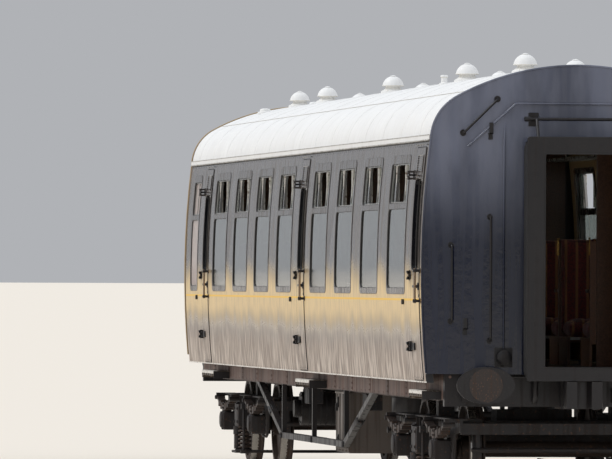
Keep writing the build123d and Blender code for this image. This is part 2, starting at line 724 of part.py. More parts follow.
def window_set(half):
    """Frame, pane, toplight frame and toplight panes of one window at x = 0 on the left side.

    A saloon window's toplight is open in the middle, with its two sliding panes behind the outer ones.
    """
    glass_half = half - FRAME_RIM
    wide = half + LIP_WIDE + MARGIN
    low = FRAME_Z[0] - LIP_BELOW - MARGIN
    high = FRAME_Z[1] + LIP_ABOVE + MARGIN
    pane_hole = prism(-glass_half, glass_half, *PANE_Z, PANE_CORNER)
    toplight_hole = prism(-glass_half, glass_half, *TOPLIGHT_Z, TOPLIGHT_CORNER)
    wall_hole = prism(-half, half, *FRAME_Z, FRAME_CORNER)
    lip = prism(-half - LIP_WIDE, half + LIP_WIDE, FRAME_Z[0] - LIP_BELOW, FRAME_Z[1] + LIP_ABOVE,
                FRAME_CORNER)
    wall_round_hole = band(0, -WALL, low, high, -wide, wide) - wall_hole
    frame = (band(LIP_RISE, -FRAME_DEPTH, low, high, -wide, wide) & lip) - wall_round_hole
    frame = frame - pane_hole - toplight_hole
    pane = band(-PANE_SINK, -PANE_SINK - PANE_THICK, low, high, -wide, wide) & pane_hole
    toplight = band(-TOPLIGHT_SINK, -TOPLIGHT_SINK - TOPLIGHT_DEPTH, low, high, -wide, wide) & toplight_hole
    slides = half == FRAME_HALF
    reach = 2 * glass_half - TOPLIGHT_BAR
    lights = []
    for start, end in ((0.0, 0.25), (0.25, 0.75), (0.75, 1.0)) if slides else ((0.0, 0.5), (0.5, 1.0)):
        lights.append(prism(-glass_half + TOPLIGHT_BAR + start * reach, -glass_half + end * reach,
                            TOPLIGHT_Z[0] + TOPLIGHT_EDGE, TOPLIGHT_Z[1] - TOPLIGHT_EDGE, TOPLIGHT_CORNER / 2))
    sheets = []
    for sink in (TOPLIGHT_PANE_SINK, TOPLIGHT_PANE_SINK + TOPLIGHT_SLIDE) if slides else (TOPLIGHT_PANE_SINK,):
        sheets.append(band(-sink, -sink - TOPLIGHT_PANE, low, high, -wide, wide))
    glazed = lights[::2] if slides else lights
    return frame, pane, toplight - lights, [sheet & light for sheet in sheets for light in glazed]


frames = []
panes = []
toplight_frames = []
lavatory_panes = []
Glazing = namedtuple("Glazing", "places half glass")
for places, half, glass in (
    Glazing(WINDOW_XS, FRAME_HALF, panes),
    Glazing([LAVATORY_WINDOW_X], LAVATORY_FRAME_HALF, lavatory_panes),
):
    frame, pane, toplight_frame, toplight_panes = window_set(half)
    for x in places:
        at = Pos(x, 0, 0)
        frames += both_sides(at * frame)
        toplight_frames += both_sides(at * toplight_frame)
        for one in [pane] + toplight_panes:
            glass += both_sides(at * one)
write("window_frames", frames)
write("window_panes", panes)
write("toplight_frames", toplight_frames)
write("lavatory_panes", lavatory_panes)


# Doors and their fittings, made for the left side at x = 0 with the hinges at the -X edge

def place_door(shape, door):
    """Put a door piece in its place; those of the right side are turned half round."""
    turn = Rot(0, 0, 180) if door.side > 0 else Rot(0, 0, 0)
    return Pos(door.x, 0, 0) * turn * shape


def hinge_rod(z0, z1, radius):
    """A round bar on the hinge axis."""
    return rod((HINGE_X, -HINGE_Y, z0), (HINGE_X, -HINGE_Y, z1), radius)


def hinge_arm(x0, x1, z0, z1, depth):
    """A flat arm on the hinge axis with a web that goes depth into the skin."""
    web_x = sorted((x0 + WEB_START, x1)) if x1 > HINGE_X else sorted((x0, x1 - WEB_START))
    arm = box(x0, x1, -HINGE_Y - ARM_THICK / 2, -HINGE_Y + ARM_THICK / 2, z0, z1)
    return arm + box(*web_x, -HINGE_Y, -half_width((z0 + z1) / 2) + depth, z0, z1)


def door_leaf():
    """The door leaf with its window opening, knuckles and lever."""
    x0 = -DOOR_HALF + HINGE_GAP
    x1 = DOOR_HALF - LOCK_GAP
    z0 = DOOR_Z[0] + DOOR_END_GAP
    z1 = DOOR_Z[1] - DOOR_END_GAP
    corner = DOOR_CORNER - DOOR_END_GAP
    wide = DOOR_HALF + MARGIN
    skin = band(0, -LEAF_SKIN, z0 - MARGIN, z1 + MARGIN, -wide, wide) & prism(x0, x1, z0, z1, corner)
    core = band(-LEAF_SKIN, -LEAF_DEPTH, z0 - MARGIN, z1 + MARGIN, -wide, wide)
    core = core & prism(x0, x1 - LOCK_SETBACK, z0, z1, corner)
    leaf = skin + core - door_window()
    for z in HINGE_ZS:
        half = DOOR_KNUCKLE - ARM_SETBACK
        leaf = leaf + hinge_arm(HINGE_X, HINGE_X + ARM_REACH, z - half, z + half, LEAF_SKIN / 3)
        leaf = leaf + hinge_rod(z - DOOR_KNUCKLE, z + DOOR_KNUCKLE, KNUCKLE_RADIUS)
        leaf = leaf - hinge_rod(z - KNUCKLE_END, z + KNUCKLE_END, PIN_RADIUS + RUNNING_CLEARANCE)
    return leaf + lever()


def door_window():
    """The opening of the door's window."""
    return prism(-DOOR_WINDOW_HALF, DOOR_WINDOW_HALF, *DOOR_WINDOW_Z, DOOR_WINDOW_CORNER)


def door_pane():
    """The door's pane."""
    wide = DOOR_WINDOW_HALF + MARGIN
    low, high = DOOR_WINDOW_Z
    sheet = band(-DOOR_PANE_SINK, -DOOR_PANE_SINK - DOOR_PANE_THICK, low - MARGIN, high + MARGIN, -wide, wide)
    return sheet & door_window()


def lever():
    """The lever handle on its round plate."""
    skin_y = -half_width(LEVER_Z)
    out_y = skin_y - LEVER_OUT
    bar = box(LEVER_X - LEVER_LONG, LEVER_X + LEVER_THICK, out_y, out_y + LEVER_THICK,
              LEVER_Z - LEVER_HIGH / 2, LEVER_Z + LEVER_HIGH / 2)
    stem = rod((LEVER_X, skin_y + 6, LEVER_Z), (LEVER_X, out_y + LEVER_THICK / 2, LEVER_Z), 11.0)
    plate = rod((LEVER_X, skin_y + 4, LEVER_Z), (LEVER_X, skin_y - 8, LEVER_Z), 28.0)
    return bar + stem + plate


def hinge_half(z):
    """The body's half of one hinge: foot, two arms, two knuckles and the pin."""
    skin_y = -half_width(z)
    near = DOOR_KNUCKLE + KNUCKLE_GAP
    pieces = [hinge_rod(z - KNUCKLE_END, z + KNUCKLE_END, PIN_RADIUS)]
    for z0, z1 in ((z - KNUCKLE_END, z - near), (z + near, z + KNUCKLE_END)):
        pieces.append(hinge_rod(z0, z1, KNUCKLE_RADIUS))
        arm_z0 = z0 if z0 < z else z0 + ARM_SETBACK
        arm_z1 = z1 - ARM_SETBACK if z0 < z else z1
        pieces.append(hinge_arm(HINGE_X - ARM_REACH, HINGE_X, arm_z0, arm_z1, WALL / 3))
    pieces.append(box(HINGE_X - ARM_REACH, HINGE_X - ARM_REACH / 2, skin_y - 10, skin_y + WALL / 3,
                      z - KNUCKLE_END, z + KNUCKLE_END))
    return union(pieces) - skin_block(z, HINGE_X)


def grab_handle():
    """The upright handle on the body beside the door's lock edge."""
    x = DOOR_HALF + GRAB_FROM_LOCK
    y = -half_width(WAIST_Z) - GRAB_OUT
    handle = rod((x, y, GRAB_Z[0] - GRAB_OVERRUN), (x, y, GRAB_Z[1] + GRAB_OVERRUN), GRAB_RADIUS)
    for z in GRAB_Z:
        skin_y = -half_width(z)
        handle = handle + rod((x, y, z), (x, skin_y + WALL / 3, z), GRAB_RADIUS - 1)
        handle = handle + rod((x, skin_y - 8, z), (x, skin_y + WALL / 3, z), 2 * GRAB_RADIUS)
    return handle - skin_block(WAIST_Z, x)


def door_stop():
    """The rubber stop that the open door rests on."""
    x = -DOOR_HALF - STOP_FROM_HINGE
    skin_y = -half_width(STOP_Z)
    stop = rod((x, skin_y + WALL / 3, STOP_Z), (x, skin_y - STOP_OUT, STOP_Z), STOP_RADIUS)
    return stop - skin_block(STOP_Z, x)


def side_reaches_stop(door):
    """Whether the side goes on far enough past a door for the open door's stop to stand on it."""
    x = door.x + door.side * (DOOR_HALF + STOP_FROM_HINGE)
    return abs(x) + STOP_RADIUS < BODY_HALF_LENGTH


leaf_solid = door_leaf()
pane_solid = door_pane()
for door in DOORS:
    write(f"door_{door.name}", place_door(leaf_solid, door))
    write(f"door_pane_{door.name}", place_door(pane_solid, door))
hinge_halves = [hinge_half(z) for z in HINGE_ZS]
write("door_hinges", [place_door(half, door) for door in DOORS for half in hinge_halves])
handle_solid = grab_handle()
write("grab_handles", [place_door(handle_solid, door) for door in DOORS])
stop_solid = door_stop()
write("door_stops", [place_door(stop_solid, door) for door in DOORS if side_reaches_stop(door)])


# Inside

def cross_wall(x):
    """A wall across the coach with a doorway on the middle line."""
    wall = section_solid(WALL, FLOOR_TOP, x - CROSS_WALL / 2, x + CROSS_WALL / 2)
    return wall - box(x - CROSS_WALL, x + CROSS_WALL, -AISLE_DOOR_HALF, AISLE_DOOR_HALF,
                      FLOOR_TOP, FLOOR_TOP + AISLE_DOOR_HIGH)


def lavatory_block():
    """The lavatories' cross wall with the two walls that line the passage."""
    wall_y = -PASSAGE_HALF - CROSS_WALL
    wall = box(-LONG, LAVATORY_WALL_X - CROSS_WALL / 2, wall_y, -PASSAGE_HALF, FLOOR_TOP, RIDGE_Z)
    wall = wall & inside_ends & section_solid(WALL, FLOOR_TOP, -LONG, LAVATORY_WALL_X)
    door_x = LAVATORY_WALL_X - LAVATORY_DOOR_SETBACK
    door = box(door_x - LAVATORY_DOOR_WIDE, door_x, wall_y - CROSS_WALL, -PASSAGE_HALF + CROSS_WALL,
               FLOOR_TOP, FLOOR_TOP + LAVATORY_DOOR_HIGH)
    return union([cross_wall(LAVATORY_WALL_X)] + both_sides(wall - door))


def bench_pieces():
    """Frame, seat cushion and back cushion of a double bench at x = 0, facing +X, on the left side."""
    y0 = -(half_width(SEAT_PAN_Z, -WALL) - SEAT_WALL_GAP)
    y1 = -SEAT_AISLE_Y
    board_x = SEAT_BACK_GAP + SEAT_BOARD
    pan_top = SEAT_PAN_Z + SEAT_PAN_THICK
    frame = (box(SEAT_BACK_GAP, board_x, y0, y1, SEAT_PAN_Z - SEAT_PAN_THICK, SEAT_BACK_Z)
             + box(board_x, SEAT_DEEP, y0, y1, SEAT_PAN_Z, pan_top)
             + box(board_x, SEAT_DEEP - CUSHION_OVERHANG, y1 - SEAT_BOARD, y1, FLOOR_TOP, SEAT_PAN_Z))
    soft_y0 = y0 + CUSHION_INSET
    soft_y1 = y1 - CUSHION_INSET
    pad_x = board_x + BACK_PAD_THICK
    seat = box(pad_x + PAD_GAP, SEAT_DEEP + CUSHION_OVERHANG, soft_y0, soft_y1,
               pan_top, pan_top + CUSHION_HIGH)
    back = box(board_x, pad_x, soft_y0, soft_y1, pan_top + BACK_PAD_OVER, SEAT_BACK_Z + BACK_PAD_OVER)
    return frame, fillet(seat.edges(), CUSHION_SOFT), fillet(back.edges(), CUSHION_SOFT)


def bench_places():
    """Where the benches stand: x of the back, and which way the bench faces."""
    for start in SALOON_STARTS:
        for index in range(BAYS):
            x0 = start + index * BAY + (CROSS_WALL / 2 if index == 0 else 0.0)
            x1 = start + (index + 1) * BAY - (CROSS_WALL / 2 if index == BAYS - 1 else 0.0)
            yield x0, 1
            yield x1, -1


def table():
    """A table at x = 0 on the left side, held by the wall and one leg."""
    under = TABLE_Z - TABLE_THICK
    leg_y = -TABLE_AISLE_Y - TABLE_FOOT_HALF
    top = box(-TABLE_HALF, TABLE_HALF, -WAIST_HALF, -TABLE_AISLE_Y, under, TABLE_Z)
    leg = box(-TABLE_LEG_HALF, TABLE_LEG_HALF, leg_y - TABLE_LEG_HALF, leg_y + TABLE_LEG_HALF,
              FLOOR_TOP, under)
    foot = box(-TABLE_FOOT_HALF, TABLE_FOOT_HALF, leg_y - TABLE_FOOT_HALF, leg_y + TABLE_FOOT_HALF,
               FLOOR_TOP, FLOOR_TOP + TABLE_THICK)
    return top + leg + foot - band(BIG, -WALL, SKIRT_Z, CANTRAIL_Z, -BIG, BIG)


def luggage_rack(start):
    """A rack of round rails along one saloon, on brackets at the bay ends."""
    x0 = start + CROSS_WALL / 2
    x1 = start + SALOON_LONG - CROSS_WALL / 2
    wall_y = -half_width(RACK_Z, -WALL)
    rails = [wall_y + RACK_FROM_WALL + index * RACK_PITCH for index in range(RACK_RAILS)]
    edge_y = rails[-1]
    lip_z = RACK_Z + RACK_LIP
    rack = union([rod((x0, y, RACK_Z), (x1, y, RACK_Z), RACK_RADIUS) for y in rails]
                 + [rod((x0, edge_y, lip_z), (x1, edge_y, lip_z), RACK_RADIUS)])
    half = RACK_BRACKET_HALF
    for index in range(BAYS + 1):
        x = min(max(start + index * BAY, x0 + half), x1 - half)
        arm = box(x - half, x + half, -WAIST_HALF, edge_y + RACK_RADIUS,
                  RACK_Z - 1.5 * RACK_RADIUS, RACK_Z + half)
        post = box(x - half, x + half, edge_y - RACK_RADIUS, edge_y + RACK_RADIUS, RACK_Z, lip_z)
        rack = rack + arm + post
    return rack - band(BIG, -WALL, SKIRT_Z, CANTRAIL_Z, x0 - BIG, x1 + BIG)


write("cross_walls", [cross_wall(x) for x in CROSS_WALL_XS] + [lavatory_block()])
bench_frame, seat_cushion, back_cushion = bench_pieces()
bench_frames = []
cushions = []
for x, facing in bench_places():
    for piece, kept in ((bench_frame, bench_frames), (seat_cushion, cushions), (back_cushion, cushions)):
        turned = piece if facing > 0 else mirror(piece, about=Plane.YZ)
        kept += both_sides(Pos(x, 0, 0) * turned)
write("seat_frames", bench_frames)
write("seat_cushions", cushions)
table_solid = table()
write("tables", [one for x in WINDOW_XS for one in both_sides(Pos(x, 0, 0) * table_solid)])
write("luggage_racks", [one for start in SALOON_STARTS for one in both_sides(luggage_rack(start))])


# Roof ventilators, staggered about the ridge

def ventilator(vent):
    """A domed cap on a round neck that stands on the roof."""
    rim_z = VENT_CAP_Z + VENT_RIM
    rise = VENT_TOP - rim_z
    ball = (VENT_CAP_RADIUS**2 + rise**2) / (2 * rise)
    cap = (rod((0, 0, VENT_CAP_Z), (0, 0, VENT_TOP + VENT_RIM), VENT_CAP_RADIUS)
           & Pos(0, 0, VENT_TOP - ball) * Sphere(ball))
    y = vent.side * VENT_Y
    neck = rod((vent.x, y, RIDGE_Z - BIG / 2), (vent.x, y, VENT_CAP_Z), VENT_NECK_RADIUS)
    neck = neck - section_solid(0.0, CANTRAIL_Z, vent.x - BIG, vent.x + BIG)
    return neck + Pos(vent.x, y, 0) * cap


write("roof_vents", [ventilator(vent) for vent in VENTS])


# Underframe

def solebar():
    """The left solebar, a channel with its open side inwards."""
    channel = box(-HEADSTOCK_BACK_X, HEADSTOCK_BACK_X, -SOLEBAR_OUT_Y, -SOLEBAR_IN_Y, SOLEBAR_Z, FLOOR_BOTTOM)
    hollow = box(-HEADSTOCK_BACK_X - 1, HEADSTOCK_BACK_X + 1, -SOLEBAR_OUT_Y + SOLEBAR_WEB, -SOLEBAR_IN_Y + 1,
                 SOLEBAR_Z + SOLEBAR_FLANGE, FLOOR_BOTTOM - SOLEBAR_FLANGE)
    return channel - hollow


def headstock():
    """The front headstock, which closes the solebars' ends."""
    return box(HEADSTOCK_BACK_X, HEADSTOCK_X, -SOLEBAR_OUT_Y, SOLEBAR_OUT_Y, HEADSTOCK_Z, FLOOR_BOTTOM)


def bolster_beam(x):
    """The beam of a body bolster from solebar to solebar."""
    return box(x - BODY_BOLSTER_HALF, x + BODY_BOLSTER_HALF, -SOLEBAR_IN_Y, SOLEBAR_IN_Y,
               BEARER_Z, FLOOR_BOTTOM)


def floor_bearers():
    """Cross bearers and two runners that carry the floor, broken at the body bolsters."""
    parts = []
    for y in (-RUNNER_Y, RUNNER_Y):
        parts.append(box(-HEADSTOCK_BACK_X, HEADSTOCK_BACK_X, y - RUNNER_HALF, y + RUNNER_HALF,
                         RUNNER_Z, FLOOR_BOTTOM))
    for index in range(BEARERS):
        x = (index - (BEARERS - 1) / 2) * BEARER_SPACING
        parts.append(box(x - BEARER_HALF, x + BEARER_HALF, -SOLEBAR_IN_Y, SOLEBAR_IN_Y,
                         BEARER_Z, FLOOR_BOTTOM))
    return union(parts) - bolster_beam(PIVOT_X) - bolster_beam(-PIVOT_X)


def body_bolster():
    """The front body bolster with its centre plate, pin and side bearers."""
    x = PIVOT_X
    parts = [bolster_beam(x)]
    parts.append(rod((x, 0, CENTRE_Z), (x, 0, BEARER_Z + OVERLAP), CENTRE_RADIUS))
    parts.append(rod((x, 0, CENTRE_PIN_Z), (x, 0, CENTRE_Z + OVERLAP), CENTRE_PIN_RADIUS))
    half = SIDE_BEARER_HALF + SIDE_BEARER_RIM
    for y in (-SIDE_BEARER_Y, SIDE_BEARER_Y):
        parts.append(box(x - half, x + half, y - half, y + half, SIDE_BEARER_Z, BEARER_Z + OVERLAP))
    return union(parts)


def truss():
    """The left truss: a bottom bar, sloping ends and three posts under the solebar."""
    high_z = TRUSS_Z + TRUSS_DEEP
    slope_wide = 3.8 * TRUSS_DEEP
    bend = TRUSS_DEEP / 3
    outline = [
        (-TRUSS_END_X, SOLEBAR_Z), (-TRUSS_POST_X, TRUSS_Z),
        (TRUSS_POST_X, TRUSS_Z), (TRUSS_END_X, SOLEBAR_Z),
        (TRUSS_END_X - slope_wide, SOLEBAR_Z), (TRUSS_POST_X - bend, high_z), (-TRUSS_POST_X + bend, high_z),
        (-TRUSS_END_X + slope_wide, SOLEBAR_Z),
    ]
    bar = side_view(outline, TRUSS_OUT_Y, TRUSS_IN_Y)
    inset = TRUSS_THICK / 8
    for x in (-TRUSS_POST_X, 0.0, TRUSS_POST_X):
        bar = bar + box(x - TRUSS_POST_HALF, x + TRUSS_POST_HALF, -TRUSS_OUT_Y + inset, -TRUSS_IN_Y - inset,
                        high_z - TRUSS_DEEP / 2, SOLEBAR_Z)
    return bar


def battery_box():
    """A ribbed battery box hung from the floor on two straps."""
    x1 = BATTERY_X + BATTERY_LONG
    low = BATTERY_TOP - BATTERY_HIGH
    in_y = BATTERY_OUT_Y - BATTERY_DEEP
    crate = box(BATTERY_X, x1, -BATTERY_OUT_Y, -in_y, low, BATTERY_TOP)
    first = BATTERY_X + 2.5 * BATTERY_RIB_HALF
    last = x1 - 2.5 * BATTERY_RIB_HALF
    for index in range(BATTERY_RIBS):
        x = first + index * (last - first) / (BATTERY_RIBS - 1)
        crate = crate + box(x - BATTERY_RIB_HALF, x + BATTERY_RIB_HALF, -BATTERY_OUT_Y - BATTERY_RIB_OUT,
                            -BATTERY_OUT_Y + OVERLAP, low + 2 * OVERLAP, BATTERY_TOP - 2 * OVERLAP)
    for x in (BATTERY_X + BATTERY_LONG / 8, x1 - BATTERY_LONG / 8):
        crate = crate + box(x - BATTERY_STRAP_HALF, x + BATTERY_STRAP_HALF, -in_y - 0.6 * BATTERY_DEEP,
                            -in_y - 0.2 * BATTERY_DEEP, BATTERY_TOP - 2 * OVERLAP, FLOOR_BOTTOM)
    return crate


def vacuum_cylinder():
    """A brake cylinder with its piston rod below, hung by a neck."""
    x = CYLINDER_X
    y = -CYLINDER_Y
    low = CYLINDER_TOP - CYLINDER_HIGH
    neck = rod((x, y, CYLINDER_TOP - OVERLAP), (x, y, FLOOR_BOTTOM), CYLINDER_NECK)
    piston = rod((x, y, low - 90), (x, y, low + OVERLAP), CYLINDER_NECK / 3)
    return rod((x, y, low), (x, y, CYLINDER_TOP), CYLINDER_RADIUS) + neck + piston


def dynamo():
    """The axle-driven dynamo with its pulley, hung from the runner and the floor."""
    x = DYNAMO_X
    y0 = -DYNAMO_END_Y - DYNAMO_LONG
    body = rod((x, y0, DYNAMO_Z), (x, -DYNAMO_END_Y, DYNAMO_Z), DYNAMO_RADIUS)
    body = body + rod((x, y0 - PULLEY_LONG, DYNAMO_Z), (x, y0 + OVERLAP, DYNAMO_Z), PULLEY_RADIUS)
    hook_z = DYNAMO_Z + 0.8 * DYNAMO_RADIUS
    half = RUNNER_HALF
    body = body + box(x - half, x + half, -RUNNER_Y - half, -RUNNER_Y + half, hook_z, RUNNER_Z)
    return body + box(x - half, x + half, y0 + half, y0 + 3 * half, hook_z, FLOOR_BOTTOM)


def brake_shaft():
    """The cross shaft with its crank and the two pull rods to the bogies."""
    half = CRANK_THICK / 2
    y = -PULL_ROD_Y
    hanger_y = SHAFT_HALF - SHAFT_HANGER_SETBACK
    shaft = rod((0, -SHAFT_HALF, SHAFT_Z), (0, SHAFT_HALF, SHAFT_Z), SHAFT_RADIUS)
    for side_y in (-hanger_y, hanger_y):
        shaft = shaft + box(-CRANK_THICK, CRANK_THICK, side_y - half, side_y + half, SHAFT_Z, FLOOR_BOTTOM)
    reach = PULL_ROD_RISE + 1.5 * PULL_ROD_RADIUS
    shaft = shaft + box(-CRANK_THICK, CRANK_THICK, y - half, y + half, SHAFT_Z - reach, SHAFT_Z + reach)
    for sign in (-1, 1):
        z = SHAFT_Z + sign * PULL_ROD_RISE
        end = sign * PULL_ROD_X
        shaft = shaft + rod((0, y, z), (end, y, z), PULL_ROD_RADIUS)
        hanger_x = end - sign * CRANK_THICK
        shaft = shaft + box(hanger_x - half, hanger_x + half, y - half, y + half,
                            z - PULL_ROD_RADIUS, FLOOR_BOTTOM)
    return shaft


def step_board(step):
    """A step board with a deep front edge and a bracket at each end."""
    x0 = step.x - step.length / 2
    x1 = step.x + step.length / 2
    board = box(x0, x1, -STEP_OUT_Y, -SOLEBAR_OUT_Y, STEP_TOP_Z - STEP_THICK, STEP_TOP_Z)
    board = board + box(x0, x1, -STEP_OUT_Y, -STEP_OUT_Y + STEP_FACE_THICK,
                        STEP_TOP_Z - STEP_FACE, STEP_TOP_Z)
    for x in (x0, x1 - STEP_BRACKET):
        board = board + box(x, x + STEP_BRACKET, -STEP_OUT_Y + STEP_FACE_THICK / 2, -SOLEBAR_OUT_Y,
                            STEP_TOP_Z - STEP_BRACKET_DEEP, STEP_TOP_Z - STEP_THICK / 2)
    return board


write("solebars", both_sides(solebar()))
write("headstocks", both_ends(headstock()))
write("floor_bearers", floor_bearers())
write("body_bolsters", both_ends(body_bolster()))
write("trusses", both_sides(truss()))
write("battery_boxes", both_sides(battery_box()))
write("vacuum_cylinders", [vacuum_cylinder(), Rot(0, 0, 180) * vacuum_cylinder()])
write("dynamo", dynamo())
write("brake_shaft", brake_shaft())
write("step_boards", [one for step in STEPS for one in both_sides(step_board(step))])


# Gangways, buffers and couplers

def gangway_bellows():
    """The front gangway's bellows as a square tube that meets the bowed end."""
    face = PLATE_X - PLATE_THICK
    tube = box(BODY_HALF_LENGTH - BIG, face, -BELLOWS_HALF, BELLOWS_HALF, *BELLOWS_Z)
    passage = box(0, PLATE_X + BIG, -DOORWAY_HALF, DOORWAY_HALF, FLOOR_TOP, DOORWAY_TOP)
    return tube - passage - outside_ends


def gangway_plate():
    """The front gangway's flat faceplate."""
    plate = box(PLATE_X - PLATE_THICK, PLATE_X, -PLATE_HALF, PLATE_HALF, *PLATE_Z)
    return plate - box(0, PLATE_X + BIG, -DOORWAY_HALF, DOORWAY_HALF, FLOOR_TOP, DOORWAY_TOP)


def buffer(y):
    """A front buffer: base, barrel, ram and oval head."""
    half = BUFFER_BASE / 2
    base = box(HEADSTOCK_X, HEADSTOCK_X + BUFFER_BASE_THICK, y - half, y + half,
               BUFFER_Z - half, FLOOR_BOTTOM - 2)
    barrel = rod((HEADSTOCK_X + OVERLAP, y, BUFFER_Z), (BUFFER_BARREL_X, y, BUFFER_Z), BUFFER_BARREL_RADIUS)
    ram = rod((BUFFER_BARREL_X - OVERLAP, y, BUFFER_Z), (BUFFER_FACE_X - OVERLAP, y, BUFFER_Z),
              BUFFER_RAM_RADIUS)
    plane = Plane(origin=(BUFFER_FACE_X - BUFFER_HEAD_THICK, y, BUFFER_Z), x_dir=(0, 1, 0), z_dir=(1, 0, 0))
    head = extrude(plane * Ellipse(BUFFER_HEAD_WIDE / 2, BUFFER_HEAD_HIGH / 2), amount=BUFFER_HEAD_THICK)
    return base + barrel + ram + head


def coupler():
    """The front knuckle coupler: a hooked head on a square shank."""
    jaw = make_face(Polyline(
        (COUPLER_X, -75), (COUPLER_X + 90, -140), (COUPLER_X + 210, -165), (COUPLER_X + 300, -150),
        (COUPLER_X + 325, -60), (COUPLER_X + 230, -50), (COUPLER_X + 220, 40), (COUPLER_X + 300, 75),
        (COUPLER_X + 335, 165), (COUPLER_X + 230, 185), (COUPLER_X + 90, 140), (COUPLER_X, 75), close=True))
    head = extrude(Plane.XY.offset(COUPLER_Z) * jaw, amount=COUPLER_HIGH)
    shank = box(HEADSTOCK_X, COUPLER_X + 2 * OVERLAP, -SHANK_HALF, SHANK_HALF, SHANK_Z, SHANK_Z + SHANK_HIGH)
    return head + shank


write("gangway_bellows", both_ends(gangway_bellows()))
write("gangway_plates", both_ends(gangway_plate()))
write("buffers", [one for y in (-BUFFER_Y, BUFFER_Y) for one in both_ends(buffer(y))])
write("couplers", [coupler(), Rot(0, 0, 180) * coupler()])


# Bogies, made about x = 0

def side_plate_outline():
    """Half of a bogie side plate's outline from the middle to the front end, along the bottom."""
    horn_in = BOX_HALF + HORN_GAP
    horn_out = horn_in + HORN_WIDE
    return [
        (BOLSTER_DOOR_HALF, BOLSTER_DOOR_Z), (BOLSTER_DOOR_HALF, PLATE_LOW_Z), (TRANSOM_X, PLATE_LOW_Z),
        (TRANSOM_X + 2 * HORN_WIDE, PLATE_LOW_Z + 40), (AXLE_X - horn_out - HORN_WIDE, HORN_TOP_Z - 20),
        (AXLE_X - horn_out, HORN_Z), (AXLE_X - horn_in, HORN_Z), (AXLE_X - horn_in, HORN_TOP_Z),
        (AXLE_X + horn_in, HORN_TOP_Z), (AXLE_X + horn_in, HORN_Z), (AXLE_X + horn_out, HORN_Z),
        (AXLE_X + horn_out + HORN_WIDE, END_MEMBER_Z[0]), (BOGIE_HALF, END_MEMBER_Z[0] + 20),
        (BOGIE_HALF, FRAME_TOP_Z),
    ]


def bogie_frame():
    """Side plates with flanges, horns and brackets, joined by transoms and end members."""
    half = side_plate_outline()
    side = side_view(half + [(-x, z) for x, z in reversed(half)], PLATE_OUT_Y, PLATE_IN_Y)
    side = side + box(-BOGIE_HALF, BOGIE_HALF, -PLATE_OUT_Y - FLANGE_OUT, -PLATE_IN_Y + FLANGE_IN,
                      FRAME_TOP_Z - FLANGE_THICK, FRAME_TOP_Z)
    for axle in (-AXLE_X, AXLE_X):
        for x in (axle - LEAF_REACH, axle + LEAF_REACH):
            side = side + box(x - HANGER_HALF, x + HANGER_HALF, -LEAF_OUT_Y, -PLATE_MID_Y,
                              LEAF_END_Z + LEAF_END_GAP, FRAME_TOP_Z)
        for x in (axle - BEAM_X, axle + BEAM_X):
            side = side + box(x - BEAM_RADIUS, x + BEAM_RADIUS, -PLATE_MID_Y,
                              -BLOCK_MID_Y + BLOCK_HANGER_WIDE, BLOCK_HANGER_Z, FRAME_TOP_Z)
    for x in (-LINK_X, LINK_X):
        side = side + box(x - 35, x + 35, -LINK_Y - 30, -PLATE_MID_Y, *LINK_BRACKET_Z)
    parts = both_sides(side)
    end_x = BOGIE_HALF - END_MEMBER_HALF - 10
    Member = namedtuple("Member", "x half heights")
    for member in (Member(TRANSOM_X, TRANSOM_HALF, TRANSOM_Z), Member(end_x, END_MEMBER_HALF, END_MEMBER_Z)):
        for x in (-member.x, member.x):
            parts.append(box(x - member.half, x + member.half, -PLATE_MID_Y, PLATE_MID_Y, *member.heights))
    return union(parts)


def bolster():
    """The bolster with its centre bowl, side bearers and pivot bore."""
    beam = box(-BOLSTER_HALF, BOLSTER_HALF, -BOLSTER_Y, BOLSTER_Y, *BOLSTER_Z)
    beam = beam + box(-BOLSTER_HALF, BOLSTER_HALF, -BOLSTER_RAISE_Y, BOLSTER_RAISE_Y,
                      BOLSTER_Z[1] - OVERLAP, BOLSTER_RAISE_Z)
    beam = beam + rod((0, 0, BOLSTER_RAISE_Z - OVERLAP), (0, 0, BOWL_Z), BOWL_RADIUS)
    for y in (-SIDE_BEARER_Y, SIDE_BEARER_Y):
        beam = beam + box(-SIDE_BEARER_HALF, SIDE_BEARER_HALF, y - SIDE_BEARER_HALF, y + SIDE_BEARER_HALF,
                          BOLSTER_Z[1] - OVERLAP, SIDE_BEARER_Z - SIDE_BEARER_GAP)
    bore_z = CENTRE_PIN_Z - CENTRE_PIN_DEPTH
    return beam - rod((0, 0, bore_z), (0, 0, BOWL_Z + OVERLAP), CENTRE_PIN_RADIUS + RUNNING_CLEARANCE)


def spring_plank():
    """The spring plank with the four swing links that hang it from the frame."""
    plank = box(-SPRING_PLANK_HALF, SPRING_PLANK_HALF, -SPRING_PLANK_Y, SPRING_PLANK_Y,
                SPRING_PLANK_Z, SPRING_PLANK_TOP)
    lug = 30.0
    for sign in (-1, 1):
        inner = sign * (min(SPRING_PLANK_HALF, LINK_X) - 2 * OVERLAP)
        outer = sign * (LINK_X + lug)
        for y in (-LINK_Y, LINK_Y):
            plank = plank + box(inner, outer, y - lug, y + lug,
                                SPRING_PLANK_Z - OVERLAP, SPRING_PLANK_TOP + OVERLAP)
            plank = plank + rod((sign * LINK_X, y, SPRING_PLANK_Z), (sign * LINK_X, y, LINK_BRACKET_Z[0]),
                                LINK_RADIUS)
    return plank


def coil_spring():
    """One bolster spring with ground ends, at the origin."""
    high = BOLSTER_Z[0] - SPRING_PLANK_TOP
    path = Helix(high / COIL_TURNS, high, COIL_RADIUS)
    wire = sweep(Plane(origin=path @ 0, z_dir=path % 0) * Circle(COIL_WIRE), path=path)
    limits = box(-BIG, BIG, -BIG, BIG, SPRING_PLANK_TOP, BOLSTER_Z[0])
    return (Pos(0, 0, SPRING_PLANK_TOP) * wire) & limits


